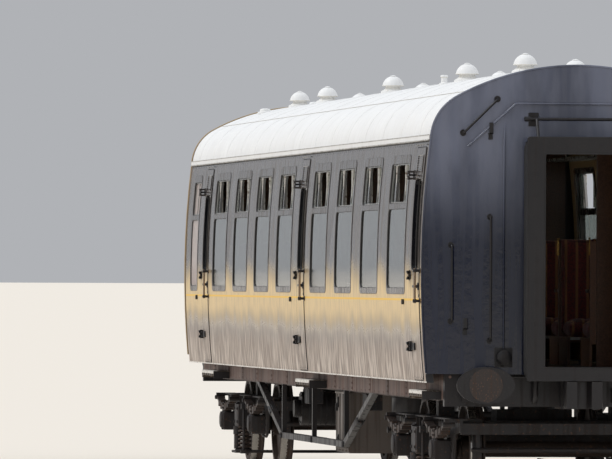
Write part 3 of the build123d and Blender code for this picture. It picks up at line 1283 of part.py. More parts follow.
def leaf_spring():
    """A stack of leaves, ends up, in a buckle on the axlebox at x = 0."""
    camber_r = (LEAF_REACH**2 + LEAF_CAMBER**2) / (2 * LEAF_CAMBER)
    centre_z = LEAF_SEAT_Z + camber_r + LEAF_STACK - LEAF_THICK
    plane = Plane(origin=(0, -LEAF_IN_Y, 0), x_dir=(1, 0, 0), z_dir=(0, -1, 0))
    stack = box(-BUCKLE_HALF, BUCKLE_HALF, -LEAF_OUT_Y - BUCKLE_WIDER, -LEAF_IN_Y + BUCKLE_WIDER, BOX_Z[1],
                LEAF_SEAT_Z + LEAF_STACK + BUCKLE_ABOVE)
    for index, half in enumerate(LEAF_HALVES):
        low_r = camber_r + (LEAF_COUNT - 1 - index) * LEAF_THICK
        high_r = low_r - LEAF_THICK
        low_z = centre_z - sqrt(low_r**2 - half**2)
        high_z = centre_z - sqrt(high_r**2 - half**2)
        face = make_face([
            ThreePointArc((-half, low_z), (0, centre_z - low_r), (half, low_z)),
            Line((half, low_z), (half, high_z)),
            ThreePointArc((half, high_z), (0, centre_z - high_r), (-half, high_z)),
            Line((-half, high_z), (-half, low_z)),
        ])
        stack = stack + extrude(plane * face, amount=LEAF_WIDE)
    return stack


def axlebox():
    """A left axlebox at x = 0 with its cover and the bore for the journal."""
    block = box(-BOX_HALF, BOX_HALF, -BOX_END_Y, -BOX_START_Y, *BOX_Z)
    block = fillet(block.edges().filter_by(Axis.Y), BOX_SOFT)
    block = block + rod((0, -BOX_END_Y, AXLE_Z), (0, -BOX_END_Y - BOX_COVER_THICK, AXLE_Z), BOX_COVER_RADIUS)
    bore = rod((0, -BOX_START_Y + OVERLAP, AXLE_Z), (0, -JOURNAL_END_Y - BOX_END_PLAY, AXLE_Z),
               JOURNAL_RADIUS + RUNNING_CLEARANCE)
    return block - bore


def brake_set(direction):
    """The beam, two blocks and two hangers on one side of an axle at x = 0."""
    inner_r = TREAD_RADIUS + BLOCK_CLEARANCE
    outer_r = inner_r + BLOCK_THICK
    beam_x = direction * BEAM_X
    end_y = BLOCK_Y + BLOCK_WIDE
    half = BLOCK_HANGER_WIDE / 2
    ring = (rod((0, BLOCK_Y, AXLE_Z), (0, end_y, AXLE_Z), outer_r)
            - rod((0, BLOCK_Y - 1, AXLE_Z), (0, end_y + 1, AXLE_Z), inner_r))
    block = ring & box(0, direction * 2 * outer_r, BLOCK_Y, end_y,
                       AXLE_Z - BLOCK_HALF_HIGH, AXLE_Z + BLOCK_HALF_HIGH)
    link = box(direction * (outer_r - 2 * OVERLAP), beam_x, BLOCK_MID_Y - half - OVERLAP,
               BLOCK_MID_Y + half + OVERLAP, AXLE_Z - 30, AXLE_Z + 30)
    hanger = box(beam_x - BEAM_RADIUS / 2, beam_x + BEAM_RADIUS / 2, BLOCK_MID_Y - half, BLOCK_MID_Y + half,
                 AXLE_Z, BLOCK_HANGER_Z)
    beam_end = end_y - 2 * OVERLAP
    beam = rod((beam_x, -beam_end, AXLE_Z), (beam_x, beam_end, AXLE_Z), BEAM_RADIUS)
    return union([beam] + [one for piece in (block, link, hanger) for one in both_sides(piece)])


def wheelset():
    """An axle with its two wheels, turned in one about the axle line at x = 0."""
    rim_r = TREAD_RADIUS - RIM_DEPTH
    disc_y = (HUB_START_Y + HUB_END_Y) / 2
    seat_r = AXLE_RADIUS + 10
    half = [
        (0, JOURNAL_END_Y), (JOURNAL_RADIUS, JOURNAL_END_Y), (JOURNAL_RADIUS, JOURNAL_START_Y),
        (seat_r, JOURNAL_START_Y - JOURNAL_STEP / 2), (seat_r, HUB_END_Y), (HUB_RADIUS, HUB_END_Y),
        (HUB_RADIUS, disc_y + DISC_THICK / 2), (rim_r, disc_y + DISC_THICK / 2), (rim_r, WHEEL_FACE_Y),
        (TREAD_RADIUS - 5, WHEEL_FACE_Y), (TREAD_RADIUS, WHEEL_BACK_Y + 72),
        (TREAD_RADIUS + 2, WHEEL_BACK_Y + 35), (TREAD_RADIUS + 13, WHEEL_BACK_Y + 25),
        (FLANGE_RADIUS, WHEEL_BACK_Y + 18),
        (FLANGE_RADIUS, WHEEL_BACK_Y + 10), (FLANGE_RADIUS - 12, WHEEL_BACK_Y), (rim_r, WHEEL_BACK_Y),
        (rim_r, disc_y - DISC_THICK / 2), (HUB_RADIUS, disc_y - DISC_THICK / 2), (HUB_RADIUS, HUB_START_Y),
        (seat_r, HUB_START_Y), (AXLE_RADIUS, HUB_START_Y - 25),
    ]
    profile = half + [(r, -y) for r, y in reversed(half)]
    return Pos(0, 0, AXLE_Z) * revolve(make_face(Polyline(*profile, close=True)), Axis.Y)


frame_solid = bogie_frame()
bolster_solid = bolster()
plank_solid = spring_plank()
coil_solid = coil_spring()
leaf_solid_stack = leaf_spring()
axlebox_solid = axlebox()
wheelset_solid = wheelset()
springs = [Pos(x, y, 0) * coil_solid for x in (-COIL_X, COIL_X) for y in (-COIL_Y, COIL_Y)]
axleboxes = []
brake_sets = []
for x in (-AXLE_X, AXLE_X):
    springs += both_sides(Pos(x, 0, 0) * leaf_solid_stack)
    axleboxes += both_sides(Pos(x, 0, 0) * axlebox_solid)
    brake_sets += [Pos(x, 0, 0) * brake_set(direction) for direction in (-1, 1)]

Bogie = namedtuple("Bogie", "name x outward")
for bogie in (Bogie("front", PIVOT_X, 1), Bogie("rear", -PIVOT_X, -1)):
    at = Pos(bogie.x, 0, 0)
    write(f"bogie_frame_{bogie.name}", at * frame_solid)
    write(f"bolster_{bogie.name}", at * bolster_solid)
    write(f"spring_plank_{bogie.name}", at * plank_solid)
    write(f"springs_{bogie.name}", [at * spring for spring in springs])
    write(f"axleboxes_{bogie.name}", [at * one for one in axleboxes])
    write(f"brake_gear_{bogie.name}", [at * one for one in brake_sets])
    write(f"wheelset_{bogie.name}_outer", at * Pos(bogie.outward * AXLE_X, 0, 0) * wheelset_solid)
    write(f"wheelset_{bogie.name}_inner", at * Pos(-bogie.outward * AXLE_X, 0, 0) * wheelset_solid)
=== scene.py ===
"""Looks of a gangwayed saloon coach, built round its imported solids.

Every length is in metres. Heights in the classes count from the rail top, and LIFT raises them to
the frame, whose ground is under the wheel flanges.
"""

import json
import logging
import math
from dataclasses import dataclass
from enum import Enum
from typing import Callable, Iterable, Optional, Sequence

import bmesh
import bpy
import numpy as np
from mathutils import Matrix, Vector
from mathutils.bvhtree import BVHTree

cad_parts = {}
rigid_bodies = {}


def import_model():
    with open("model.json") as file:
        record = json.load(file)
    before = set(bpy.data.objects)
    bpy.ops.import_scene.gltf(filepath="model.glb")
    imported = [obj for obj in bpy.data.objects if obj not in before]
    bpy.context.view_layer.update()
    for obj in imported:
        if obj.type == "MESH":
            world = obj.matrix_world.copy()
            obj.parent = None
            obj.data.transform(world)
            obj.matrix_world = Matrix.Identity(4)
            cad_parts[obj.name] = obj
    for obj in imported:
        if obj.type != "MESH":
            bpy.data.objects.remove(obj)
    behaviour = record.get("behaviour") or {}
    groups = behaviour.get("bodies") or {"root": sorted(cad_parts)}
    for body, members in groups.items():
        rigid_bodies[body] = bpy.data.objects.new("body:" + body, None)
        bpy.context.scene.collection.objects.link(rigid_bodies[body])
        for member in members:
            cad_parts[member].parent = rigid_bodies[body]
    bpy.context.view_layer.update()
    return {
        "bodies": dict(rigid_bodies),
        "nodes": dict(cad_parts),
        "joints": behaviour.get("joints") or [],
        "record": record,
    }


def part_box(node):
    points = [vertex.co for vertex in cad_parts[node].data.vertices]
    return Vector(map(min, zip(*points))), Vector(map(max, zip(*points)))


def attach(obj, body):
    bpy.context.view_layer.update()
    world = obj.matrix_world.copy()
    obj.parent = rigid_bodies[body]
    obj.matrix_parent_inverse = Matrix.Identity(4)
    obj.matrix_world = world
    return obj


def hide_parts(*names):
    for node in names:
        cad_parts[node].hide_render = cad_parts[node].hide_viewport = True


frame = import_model()
LOG = logging.getLogger("coach")
LIFT = 0.0285
Colour = tuple[float, float, float]
Point = tuple[float, float, float]
Pair = tuple[float, float]
Socket = bpy.types.NodeSocket
Tree = bpy.types.NodeTree
Mesh = bpy.types.Mesh
Thing = bpy.types.Object
UP: Point = (0.0, 0.0, 1.0)


def tone(red: int, green: int, blue: int) -> Colour:
    """A colour as seen on a screen, turned into the linear values that shaders use."""
    seen = [part / 255 for part in (red, green, blue)]
    return tuple(part / 12.92 if part <= 0.04045 else ((part + 0.055) / 1.055) ** 2.4 for part in seen)


def raised(x: float, y: float, z: float) -> Point:
    """A point given above the rail, in the frame."""
    return (x, y, z + LIFT)


# Shader and geometry node sheets


class NodeSheet:
    """Writes the nodes of one tree, each with its values and links in one call."""

    def __init__(self, tree: Tree) -> None:
        """Start on an empty tree."""
        self.tree = tree
        tree.nodes.clear()

    def add(self, kind: str, inputs: Optional[dict] = None, **settings: object) -> bpy.types.Node:
        """Add one node.

        Args:
            kind: Blender's name of the node type.
            inputs: socket names or numbers, with the value or the output that feeds each.
            settings: the node's own settings, made before its sockets are used.

        Returns:
            The new node.
        """
        node = self.tree.nodes.new(kind)
        for key, value in settings.items():
            setattr(node, key, value)
        for key, value in (inputs or {}).items():
            if isinstance(value, Socket):
                self.tree.links.new(value, node.inputs[key])
            else:
                node.inputs[key].default_value = value
        return node

    def out(self, kind: str, inputs: Optional[dict] = None, **settings: object) -> Socket:
        """The first output of a node added as by add."""
        return self.add(kind, inputs, **settings).outputs[0]

    def sum(self, operation: str, *terms: object) -> Socket:
        """The output of a Math node on one to three terms."""
        return self.out("ShaderNodeMath", dict(enumerate(terms)), operation=operation)

    def product(self, first: object, *others: object) -> Socket:
        """The product of all the terms.

        Args:
            first: the first term.
            others: the terms it is multiplied by.

        Returns:
            The output.
        """
        for other in others:
            first = self.sum("MULTIPLY", first, other)
        return first

    def mix(self, share: object, first: object, second: object) -> Socket:
        """A colour that goes from first to second with share."""
        full = [(*one, 1.0) if isinstance(one, tuple) else one for one in (first, second)]
        return self.add("ShaderNodeMix", {0: share, 6: full[0], 7: full[1]}, data_type="RGBA").outputs[2]

    def noise(self, vector: object, scale: object, detail: float = 2.0) -> Socket:
        """Cloudy values from 0 to 1."""
        return self.out("ShaderNodeTexNoise", {"Vector": vector, "Scale": scale, "Detail": detail})

    def spread(self, value: object, low: object, high: object, start: object = 0.0,
               end: object = 1.0) -> Socket:
        """A smooth step of value between low and high, from start to end."""
        inputs = {0: value, 1: low, 2: high, 3: start, 4: end}
        return self.out("ShaderNodeMapRange", inputs, interpolation_type="SMOOTHSTEP")

    def times(self, vector: object, factors: object, operation: str = "MULTIPLY") -> Socket:
        """A vector scaled, or divided, on each axis."""
        return self.out("ShaderNodeVectorMath", {0: vector, 1: factors}, operation=operation)

    def parts(self, vector: object) -> Sequence[Socket]:
        """The three parts of a vector."""
        return self.add("ShaderNodeSeparateXYZ", {0: vector}).outputs

    def vector(self, *parts: object) -> Socket:
        """A vector of up to three parts."""
        return self.out("ShaderNodeCombineXYZ", dict(enumerate(parts)))


class Effects:
    """The shader groups that several finishes share, each built once."""

    def __init__(self) -> None:
        """Build every group."""
        self.streaks = self.group("rain streaks", ("Width", "Length", "Cover"), ("Mask",), self._streaks)
        self.dust = self.group("road dust", ("Low", "High", "Patch"), ("Mask",), self._dust)
        self.wear = self.group("worn patches", ("Size", "Cover"), ("Mask",), self._wear)
        self.grain = self.group("wood grain", ("Ring",), ("Mask", "Height"), self._grain)
        self.weave = self.group("cloth weave", ("Thread",), ("Mask", "Height"), self._weave)

    @staticmethod
    def group(name: str, inputs: Sequence[str], outputs: Sequence[str], fill: Callable) -> Tree:
        """Build one group that reads a vector and some sizes.

        Args:
            name: the group's name.
            inputs: the names of its sizes.
            outputs: the names of the values that it puts out.
            fill: a function of the sheet and the group's inputs that returns the outputs.

        Returns:
            The node group.
        """
        tree = bpy.data.node_groups.new(name, "ShaderNodeTree")
        tree.interface.new_socket("Vector", in_out="INPUT", socket_type="NodeSocketVector")
        for way, names in (("INPUT", inputs), ("OUTPUT", outputs)):
            for one in names:
                tree.interface.new_socket(one, in_out=way, socket_type="NodeSocketFloat")
        sheet = NodeSheet(tree)
        given = sheet.add("NodeGroupInput").outputs
        sheet.add("NodeGroupOutput", dict(zip(outputs, fill(sheet, given))))
        return tree

    @staticmethod
    def _streaks(sheet: NodeSheet, given: dict) -> tuple:
        """Narrow upright runs left by rain.

        Args:
            sheet: the group's node sheet.
            given: the group's inputs by name.

        Returns:
            The mask.
        """
        size = sheet.vector(given["Width"], given["Width"], given["Length"])
        low = sheet.sum("MULTIPLY_ADD", given["Cover"], -0.34, 0.66)
        cloud = sheet.noise(sheet.times(given["Vector"], size, "DIVIDE"), 1.0, 3.0)
        return (sheet.spread(cloud, low, sheet.sum("ADD", low, 0.16)),)

    @staticmethod
    def _dust(sheet: NodeSheet, given: dict) -> tuple:
        """Dirt that thins out with height, in patches.

        Args:
            sheet: the group's node sheet.
            given: the group's inputs by name.

        Returns:
            The mask.
        """
        height = sheet.parts(given["Vector"])[2]
        cloud = sheet.sum("SUBTRACT", sheet.noise(given["Vector"], given["Patch"], 4.0), 0.5)
        lift = sheet.product(cloud, sheet.sum("SUBTRACT", given["High"], given["Low"]))
        return (sheet.spread(sheet.sum("ADD", height, lift), given["Low"], given["High"], 1.0, 0.0),)

    @staticmethod
    def _wear(sheet: NodeSheet, given: dict) -> tuple:
        """Small spots where the finish has rubbed off.

        Args:
            sheet: the group's node sheet.
            given: the group's inputs by name.

        Returns:
            The mask.
        """
        low = sheet.sum("MULTIPLY_ADD", given["Cover"], -0.3, 0.7)
        cloud = sheet.noise(given["Vector"], sheet.sum("DIVIDE", 1.0, given["Size"]), 5.0)
        return (sheet.spread(cloud, low, sheet.sum("ADD", low, 0.07)),)

    @staticmethod
    def _grain(sheet: NodeSheet, given: dict) -> tuple:
        """Long wood fibres with slow rings.

        Args:
            sheet: the group's node sheet.
            given: the group's inputs by name.

        Returns:
            The rings' mask and the fibres' values.
        """
        long = sheet.times(given["Vector"], (1.0, 9.0, 9.0))
        rings = sheet.noise(long, sheet.sum("DIVIDE", 1.0, given["Ring"]), 5.0)
        fibre = sheet.noise(sheet.times(given["Vector"], (30.0, 900.0, 900.0)), 1.0, 2.0)
        return (sheet.spread(rings, 0.3, 0.7), fibre)

    @staticmethod
    def _weave(sheet: NodeSheet, given: dict) -> tuple:
        """Crossed threads with flecks.

        Args:
            sheet: the group's node sheet.
            given: the group's inputs by name.

        Returns:
            The flecks' values and the threads' height.
        """
        turns = sheet.sum("DIVIDE", 6.2832, given["Thread"])
        x, y, z = sheet.parts(given["Vector"])[:3]
        along, across = (
            sheet.sum("SINE", sheet.product(sheet.sum("ADD", axis, z), turns)) for axis in (x, y))
        height = sheet.sum("MULTIPLY_ADD", sheet.product(along, across), 0.5, 0.5)
        return (sheet.noise(given["Vector"], 60.0, 4.0), height)


class PaintSheet(NodeSheet):
    """The node sheet of one material, with its coordinates and the shared effects at hand."""

    def __init__(self, tree: Tree, effects: Effects) -> None:
        """Start with the object's own coordinates.

        Args:
            tree: the material's node tree.
            effects: the shared shader groups.
        """
        super().__init__(tree)
        self.effects = effects
        place = self.add("ShaderNodeTexCoord").outputs
        self.at, self.normal = place["Object"], place["Normal"]

    def axis(self, number: int) -> Socket:
        """One of the coordinates."""
        return self.parts(self.at)[number]

    def effect(self, group: Tree, **given: object) -> Sequence[Socket]:
        """The outputs of a shared group, placed on the coordinates unless Vector is given."""
        return self.add("ShaderNodeGroup", {"Vector": self.at, **given}, node_tree=group).outputs

    def runs(self, size: Pair, cover: float, **given: object) -> Socket:
        """Upright runs of a width and a length."""
        return self.effect(self.effects.streaks, Width=size[0], Length=size[1], Cover=cover, **given)[0]


class Facing(Enum):
    """Which way a two-sided piece's outer face looks."""

    SIDE = 1
    TOP = 2
    END = 0


@dataclass(frozen=True)
class Finish:
    """A painted, metal or moulded finish with its dirt and wear."""

    slot: str
    colour: Colour
    soiled: Colour
    worn: Colour
    rough: Pair = (0.3, 0.6)
    metallic: float = 0.0
    streaks: float = 0.4
    streak_size: Pair = (0.05, 1.2)
    dust: float = 0.5
    dust_range: Pair = (0.3, 1.6)
    wear: float = 0.3
    wear_size: float = 0.03
    relief: float = 0.0004
    relief_scale: float = 60.0
    inner: Optional[Colour] = None
    facing: Facing = Facing.SIDE
    # Near-black colour of the painted shade on faces across a side wall and on the reveals beside the
    # windows.
    edge: Colour = (0.007, 0.007, 0.01)

    def build(self, name: str, effects: Effects) -> bpy.types.Material:
        """Make the material.

        Args:
            name: the material's name.
            effects: the shared shader groups.

        Returns:
            The finished material.
        """
        material = bpy.data.materials.new(name)
        material.use_nodes = True
        sheet = PaintSheet(material.node_tree, effects)
        colour, rough, height = self.surface(sheet)
        if self.inner:
            colour, rough = self.lined(sheet, colour, rough)
        bump = sheet.out("ShaderNodeBump", {"Height": height, "Strength": 1.0, "Distance": self.relief})
        shader = sheet.add(
            "ShaderNodeBsdfPrincipled", {"Base Color": colour, "Roughness": rough,
                "Metallic": self.metallic, "IOR": 1.5, "Normal": bump})
        self.extra(shader)
        sheet.add("ShaderNodeOutputMaterial", {"Surface": shader.outputs[0]})
        return material

    def extra(self, shader: bpy.types.Node) -> None:
        """Settings of the shader that only some finishes have."""

    def rubbed(self, sheet: PaintSheet) -> Socket:
        """Where the finish has rubbed off."""
        return sheet.effect(sheet.effects.wear, Size=self.wear_size, Cover=self.wear)[0]

    def surface(self, sheet: PaintSheet) -> tuple:
        """Colour, roughness and height over the surface.

        Args:
            sheet: the material's node sheet.

        Returns:
            The three sockets.
        """
        runs = sheet.runs(self.streak_size, 0.55)
        low, high = self.dust_range
        dust = sheet.product(sheet.effect(sheet.effects.dust, Low=low, High=high, Patch=1.7)[0], self.dust)
        rubbed = self.rubbed(sheet)
        soft = sheet.noise(sheet.at, 3.0, 3.0)
        colour = self.colour
        for share in (sheet.product(soft, 0.35), sheet.product(runs, self.streaks), dust):
            colour = sheet.mix(share, colour, self.soiled)
        colour = sheet.mix(sheet.product(rubbed, min(1.0, 2 * self.wear)), colour, self.worn)
        matt = sheet.sum("MAXIMUM", sheet.product(runs, 0.8), dust)
        rough = sheet.spread(sheet.sum("MULTIPLY_ADD", soft, 0.3, matt), 0.05, 1.1, *self.rough)
        height = sheet.sum("MULTIPLY_ADD", rubbed, -0.6, sheet.noise(sheet.at, self.relief_scale, 4.0))
        return colour, rough, height

    def lined(self, sheet: PaintSheet, colour: object, rough: object) -> tuple:
        """Give the faces that look into the coach their own colour, and paint shade on the faces across a
        side wall, such as the window and door reveals.

        Args:
            sheet: the material's node sheet.
            colour: the outside's colour.
            rough: the outside's roughness.

        Returns:
            Colour and roughness for both faces.
        """
        axis = self.facing.value
        look = sheet.parts(sheet.normal)[axis]
        away = look if self.facing is Facing.TOP else sheet.product(
            look, sheet.sum("SIGN", sheet.axis(axis)))
        inside = sheet.sum("LESS_THAN", away, -0.1)
        shade = tuple(0.8 * part for part in self.inner)
        both = sheet.mix(inside, colour, sheet.mix(sheet.noise(sheet.at, 2.0, 2.0), self.inner, shade))
        if self.facing is Facing.SIDE:
            # Faces across a side wall, such as the window and door reveals, get painted shade.
            reveal_shade_mask = sheet.spread(sheet.sum("ABSOLUTE", look), 0.35, 0.55, 1.0, 0.0)
            both = sheet.mix(reveal_shade_mask, both, self.edge)
        return both, sheet.sum("MULTIPLY_ADD", inside, sheet.sum("SUBTRACT", 0.45, rough), rough)


@dataclass(frozen=True)
class CoachPaint(Finish):
    """Glossy body paint with a lining band, a golden painted reflection of the ground about the waist, and
    below it a pale film, partly dust and partly painted reflection, with wavy runs of painted highlight and
    shade.
    """

    band: Colour = (0.6, 0.42, 0.12)
    band_zs: Pair = (1.802, 1.82)
    # Golden colour about the waist and its heights: a painted reflection of the ground.
    warm: Colour = (0.6, 0.4, 0.15)
    warm_zs: tuple[float, float, float, float] = (1.42, 1.74, 1.86, 2.22)
    # Pale colour low on the side: partly dust, partly a painted reflection of the ground.
    mud: Colour = (0.3, 0.25, 0.2)
    mud_zs: Pair = (1.28, 1.7)
    # Heights and colours of the pale runs of painted highlight and the dark runs of painted shade, standing
    # in for reflections in the wavy paint.
    low_zs: Pair = (1.05, 1.76)
    bright: Colour = (0.8, 0.75, 0.7)
    shadow: Colour = (0.05, 0.04, 0.03)

    def surface(self, sheet: PaintSheet) -> tuple:
        """The painted side: Finish's dirt, then by height a painted reflection of the ground, a pale film
        of dust and painted reflection, wavy runs of painted highlight and shade, and the lining band.

        Args:
            sheet: the material's node sheet.

        Returns:
            Colour, roughness and height.
        """
        colour, rough, height = super().surface(sheet)
        up = sheet.axis(2)
        wave = sheet.noise(sheet.times(sheet.at, (3.0, 1.0, 0.5)), 1.0, 3.0)
        level = sheet.sum("MULTIPLY_ADD", sheet.sum("SUBTRACT", wave, 0.5), 0.28, up)
        # Golden band about the waist: a painted reflection of the ground.
        low, reflection_start, reflection_end, top = (z + LIFT for z in self.warm_zs)
        warm = sheet.product(
            sheet.spread(level, low, reflection_start), sheet.spread(level, reflection_end, top, 1.0, 0.0))
        # Pale film low down: partly dust, partly a painted reflection of the ground.
        mud, highlight_share = (
            sheet.spread(level, low + LIFT, high + LIFT, 1.0, 0.0)
            for low, high in (self.mud_zs, self.low_zs))
        # Pale runs are painted highlight and dark runs are painted shade, for the reflections in the wavy
        # paint; the finer runs streak the golden band.
        light = sheet.runs((0.06, 0.34), 0.6)
        dark = sheet.runs((0.07, 0.36), 0.62, Vector=sheet.times(sheet.at, (1.3, 1.0, 0.8)))
        fine = sheet.runs((0.035, 0.5), 0.5, Vector=sheet.times(sheet.at, (1.7, 1.0, 1.2)))
        for share, over in (
                (sheet.product(mud, 0.88), self.mud), (sheet.product(warm, 0.86), self.warm),
                (sheet.product(fine, warm, 0.5), self.mud), (sheet.product(dark, mud, 0.5), self.shadow),
                (sheet.product(light, highlight_share, 0.64), self.bright)):
            colour = sheet.mix(share, colour, over)
        # The paint is duller over the golden band and the pale film low down.
        duller_paint = sheet.sum("MAXIMUM", warm, sheet.product(mud, 0.7))
        rough = sheet.sum("MULTIPLY_ADD", duller_paint, sheet.sum("SUBTRACT", 0.62, rough), rough)
        start, end = (z + LIFT for z in self.band_zs)
        band = sheet.product(
            sheet.spread(up, start - 0.001, start), sheet.spread(up, end, end + 0.001, 1.0, 0.0))
        return sheet.mix(band, colour, self.band), rough, height


@dataclass(frozen=True)
class Faded(Finish):
    """A finish that is dark low down and takes another tone on its higher parts: a painted reflection of
    the sky on the end walls, the solebars' dust-brown under the floor.
    """

    # Tone of the higher parts: painted sky reflection on the end walls, the solebars' colour under the
    # floor.
    upper: Colour = (0.2, 0.15, 0.13)
    upper_range: Pair = (0.88, 0.94)

    def surface(self, sheet: PaintSheet) -> tuple:
        """Finish's dirt, with the other tone above a height, in clouds: a painted sky reflection on the end
        walls, the solebars' colour under the floor.

        Args:
            sheet: the material's node sheet.

        Returns:
            Colour, roughness and height.
        """
        colour, rough, height = super().surface(sheet)
        low, high = (z + LIFT for z in self.upper_range)
        cloud = sheet.noise(sheet.times(sheet.at, (2.0, 2.0, 0.6)), 1.6, 4.0)
        # Above the height, in clouds, the other tone: on the end walls a painted reflection of the sky.
        share = sheet.product(
            sheet.spread(sheet.axis(2), low, high), sheet.spread(cloud, 0.25, 0.6, 0.45, 1.0))
        return sheet.mix(share, colour, self.upper), rough, height


@dataclass(frozen=True)
class Ironwork(Finish):
    """Black ironwork; the pieces high on the sides are painted over with the body."""

    painted: Colour = (0.08, 0.07, 0.07)
    painted_above: float = 2.3
    painted_out: float = 1.27

    def surface(self, sheet: PaintSheet) -> tuple:
        """Finish's dirt, with body paint over what stands high on the sides.

        Args:
            sheet: the material's node sheet.

        Returns:
            Colour, roughness and height.
        """
        colour, rough, height = super().surface(sheet)
        high = sheet.sum("GREATER_THAN", sheet.axis(2), self.painted_above + LIFT)
        outside = sheet.sum("GREATER_THAN", sheet.sum("ABSOLUTE", sheet.axis(1)), self.painted_out)
        return sheet.mix(sheet.product(high, outside), colour, self.painted), rough, height


@dataclass(frozen=True)
class Timber(Finish):
    """Varnished or bare wood, with painted shade on the reveals beside the windows beyond a distance from
    the middle line.
    """

    ring: float = 0.08
    dark_beyond: float = 9.0

    def surface(self, sheet: PaintSheet) -> tuple:
        """Grain in two tones with fine fibres, and painted shade on the reveals beside the windows.

        Args:
            sheet: the material's node sheet.

        Returns:
            Colour, roughness and height.
        """
        rings, fibres = sheet.effect(sheet.effects.grain, Ring=self.ring)[:2]
        colour = sheet.mix(rings, self.colour, self.soiled)
        colour = sheet.mix(sheet.product(self.rubbed(sheet), self.wear), colour, self.worn)
        # Painted shade on the panelling near the side wall, in the window reveals.
        across = sheet.sum("ABSOLUTE", sheet.axis(1))
        window_reveal_shade = sheet.spread(across, self.dark_beyond, self.dark_beyond + 0.02)
        colour = sheet.mix(sheet.product(window_reveal_shade, 0.93), colour, self.edge)
        return colour, sheet.spread(fibres, 0.2, 0.8, *self.rough), fibres


@dataclass(frozen=True)
class Fabric(Finish):
    """Woven pile cloth with flecks and a soft sheen."""

    thread: float = 0.006

    def surface(self, sheet: PaintSheet) -> tuple:
        """Threads in two tones, rubbed paler where people sit.

        Args:
            sheet: the material's node sheet.

        Returns:
            Colour, roughness and height.
        """
        flecks, threads = sheet.effect(sheet.effects.weave, Thread=self.thread)[:2]
        colour = sheet.mix(sheet.spread(flecks, 0.35, 0.65), self.colour, self.soiled)
        bands = sheet.spread(sheet.sum("SINE", sheet.product(sheet.axis(1), 62.8)), 0.55, 0.9)
        colour = sheet.mix(sheet.product(bands, 0.55), colour, self.worn)
        return colour, sheet.spread(threads, 0.0, 1.0, *self.rough), threads

    def extra(self, shader: bpy.types.Node) -> None:
        """A little sheen from the pile."""
        shader.inputs["Sheen Weight"].default_value = 0.25


@dataclass(frozen=True)
class Glazing(Finish):
    """Window glass with a film of dirt."""

    clear: float = 1.0

    def surface(self, sheet: PaintSheet) -> tuple:
        """Nearly clean glass, a little duller where rain has run.

        Args:
            sheet: the material's node sheet.

        Returns:
            Colour, roughness and height.
        """
        runs = sheet.runs((0.05, 0.5), 0.4)
        foot = sheet.spread(sheet.axis(2), 1.93 + LIFT, 2.25 + LIFT, 1.0, 0.0)
        film = sheet.sum("MAXIMUM", sheet.product(runs, 0.4), sheet.product(foot, self.dust))
        dull = sheet.sum("MAXIMUM", runs, sheet.product(foot, 2.0))
        colour = sheet.mix(film, self.colour, self.soiled)
        rough = sheet.spread(dull, 0.0, 2.0, *self.rough)
        return colour, rough, sheet.noise(sheet.at, self.relief_scale, 2.0)

    def extra(self, shader: bpy.types.Node) -> None:
        """See-through glass."""
        shader.inputs["Transmission Weight"].default_value = self.clear


class Look(Enum):
    """Every finish on the coach, named after its material slot where it has one of its own."""

    BODY = "body_paint"
    END = "end_paint"
    ROOF = "roof_paint"
    FLOOR = "floor_cover"
    GLASS = "glass"
    FROSTED = "frosted_glass"
    ALUMINIUM = "aluminium"
    IRON = "black_iron"
    RUBBER = "rubber"
    PANELLING = "interior_wood"
    SEAT_FRAME = "seat_frame"
    MOQUETTE = "moquette"
    TABLE = "table_top"
    DIRT = "underframe_dirt"
    BATTERY = "battery_box"
    STEP = "step_wood"
    BELLOWS = "gangway_rubber"
    BOGIE = "bogie_iron"
    SPRING = "spring_steel"
    WHEEL = "wheel_steel"
    TREAD = "bright tread"
    GUTTER = "gutter paint"
    BRASS = "worn brass"
    LAMP = "lamp glass"
    EDGE = "worn step edge"
    TIMBER = "varnished timber"
    PIPING = "seat piping"
    FRAME = "window frame paint"
    RAIL = "dull rail steel"


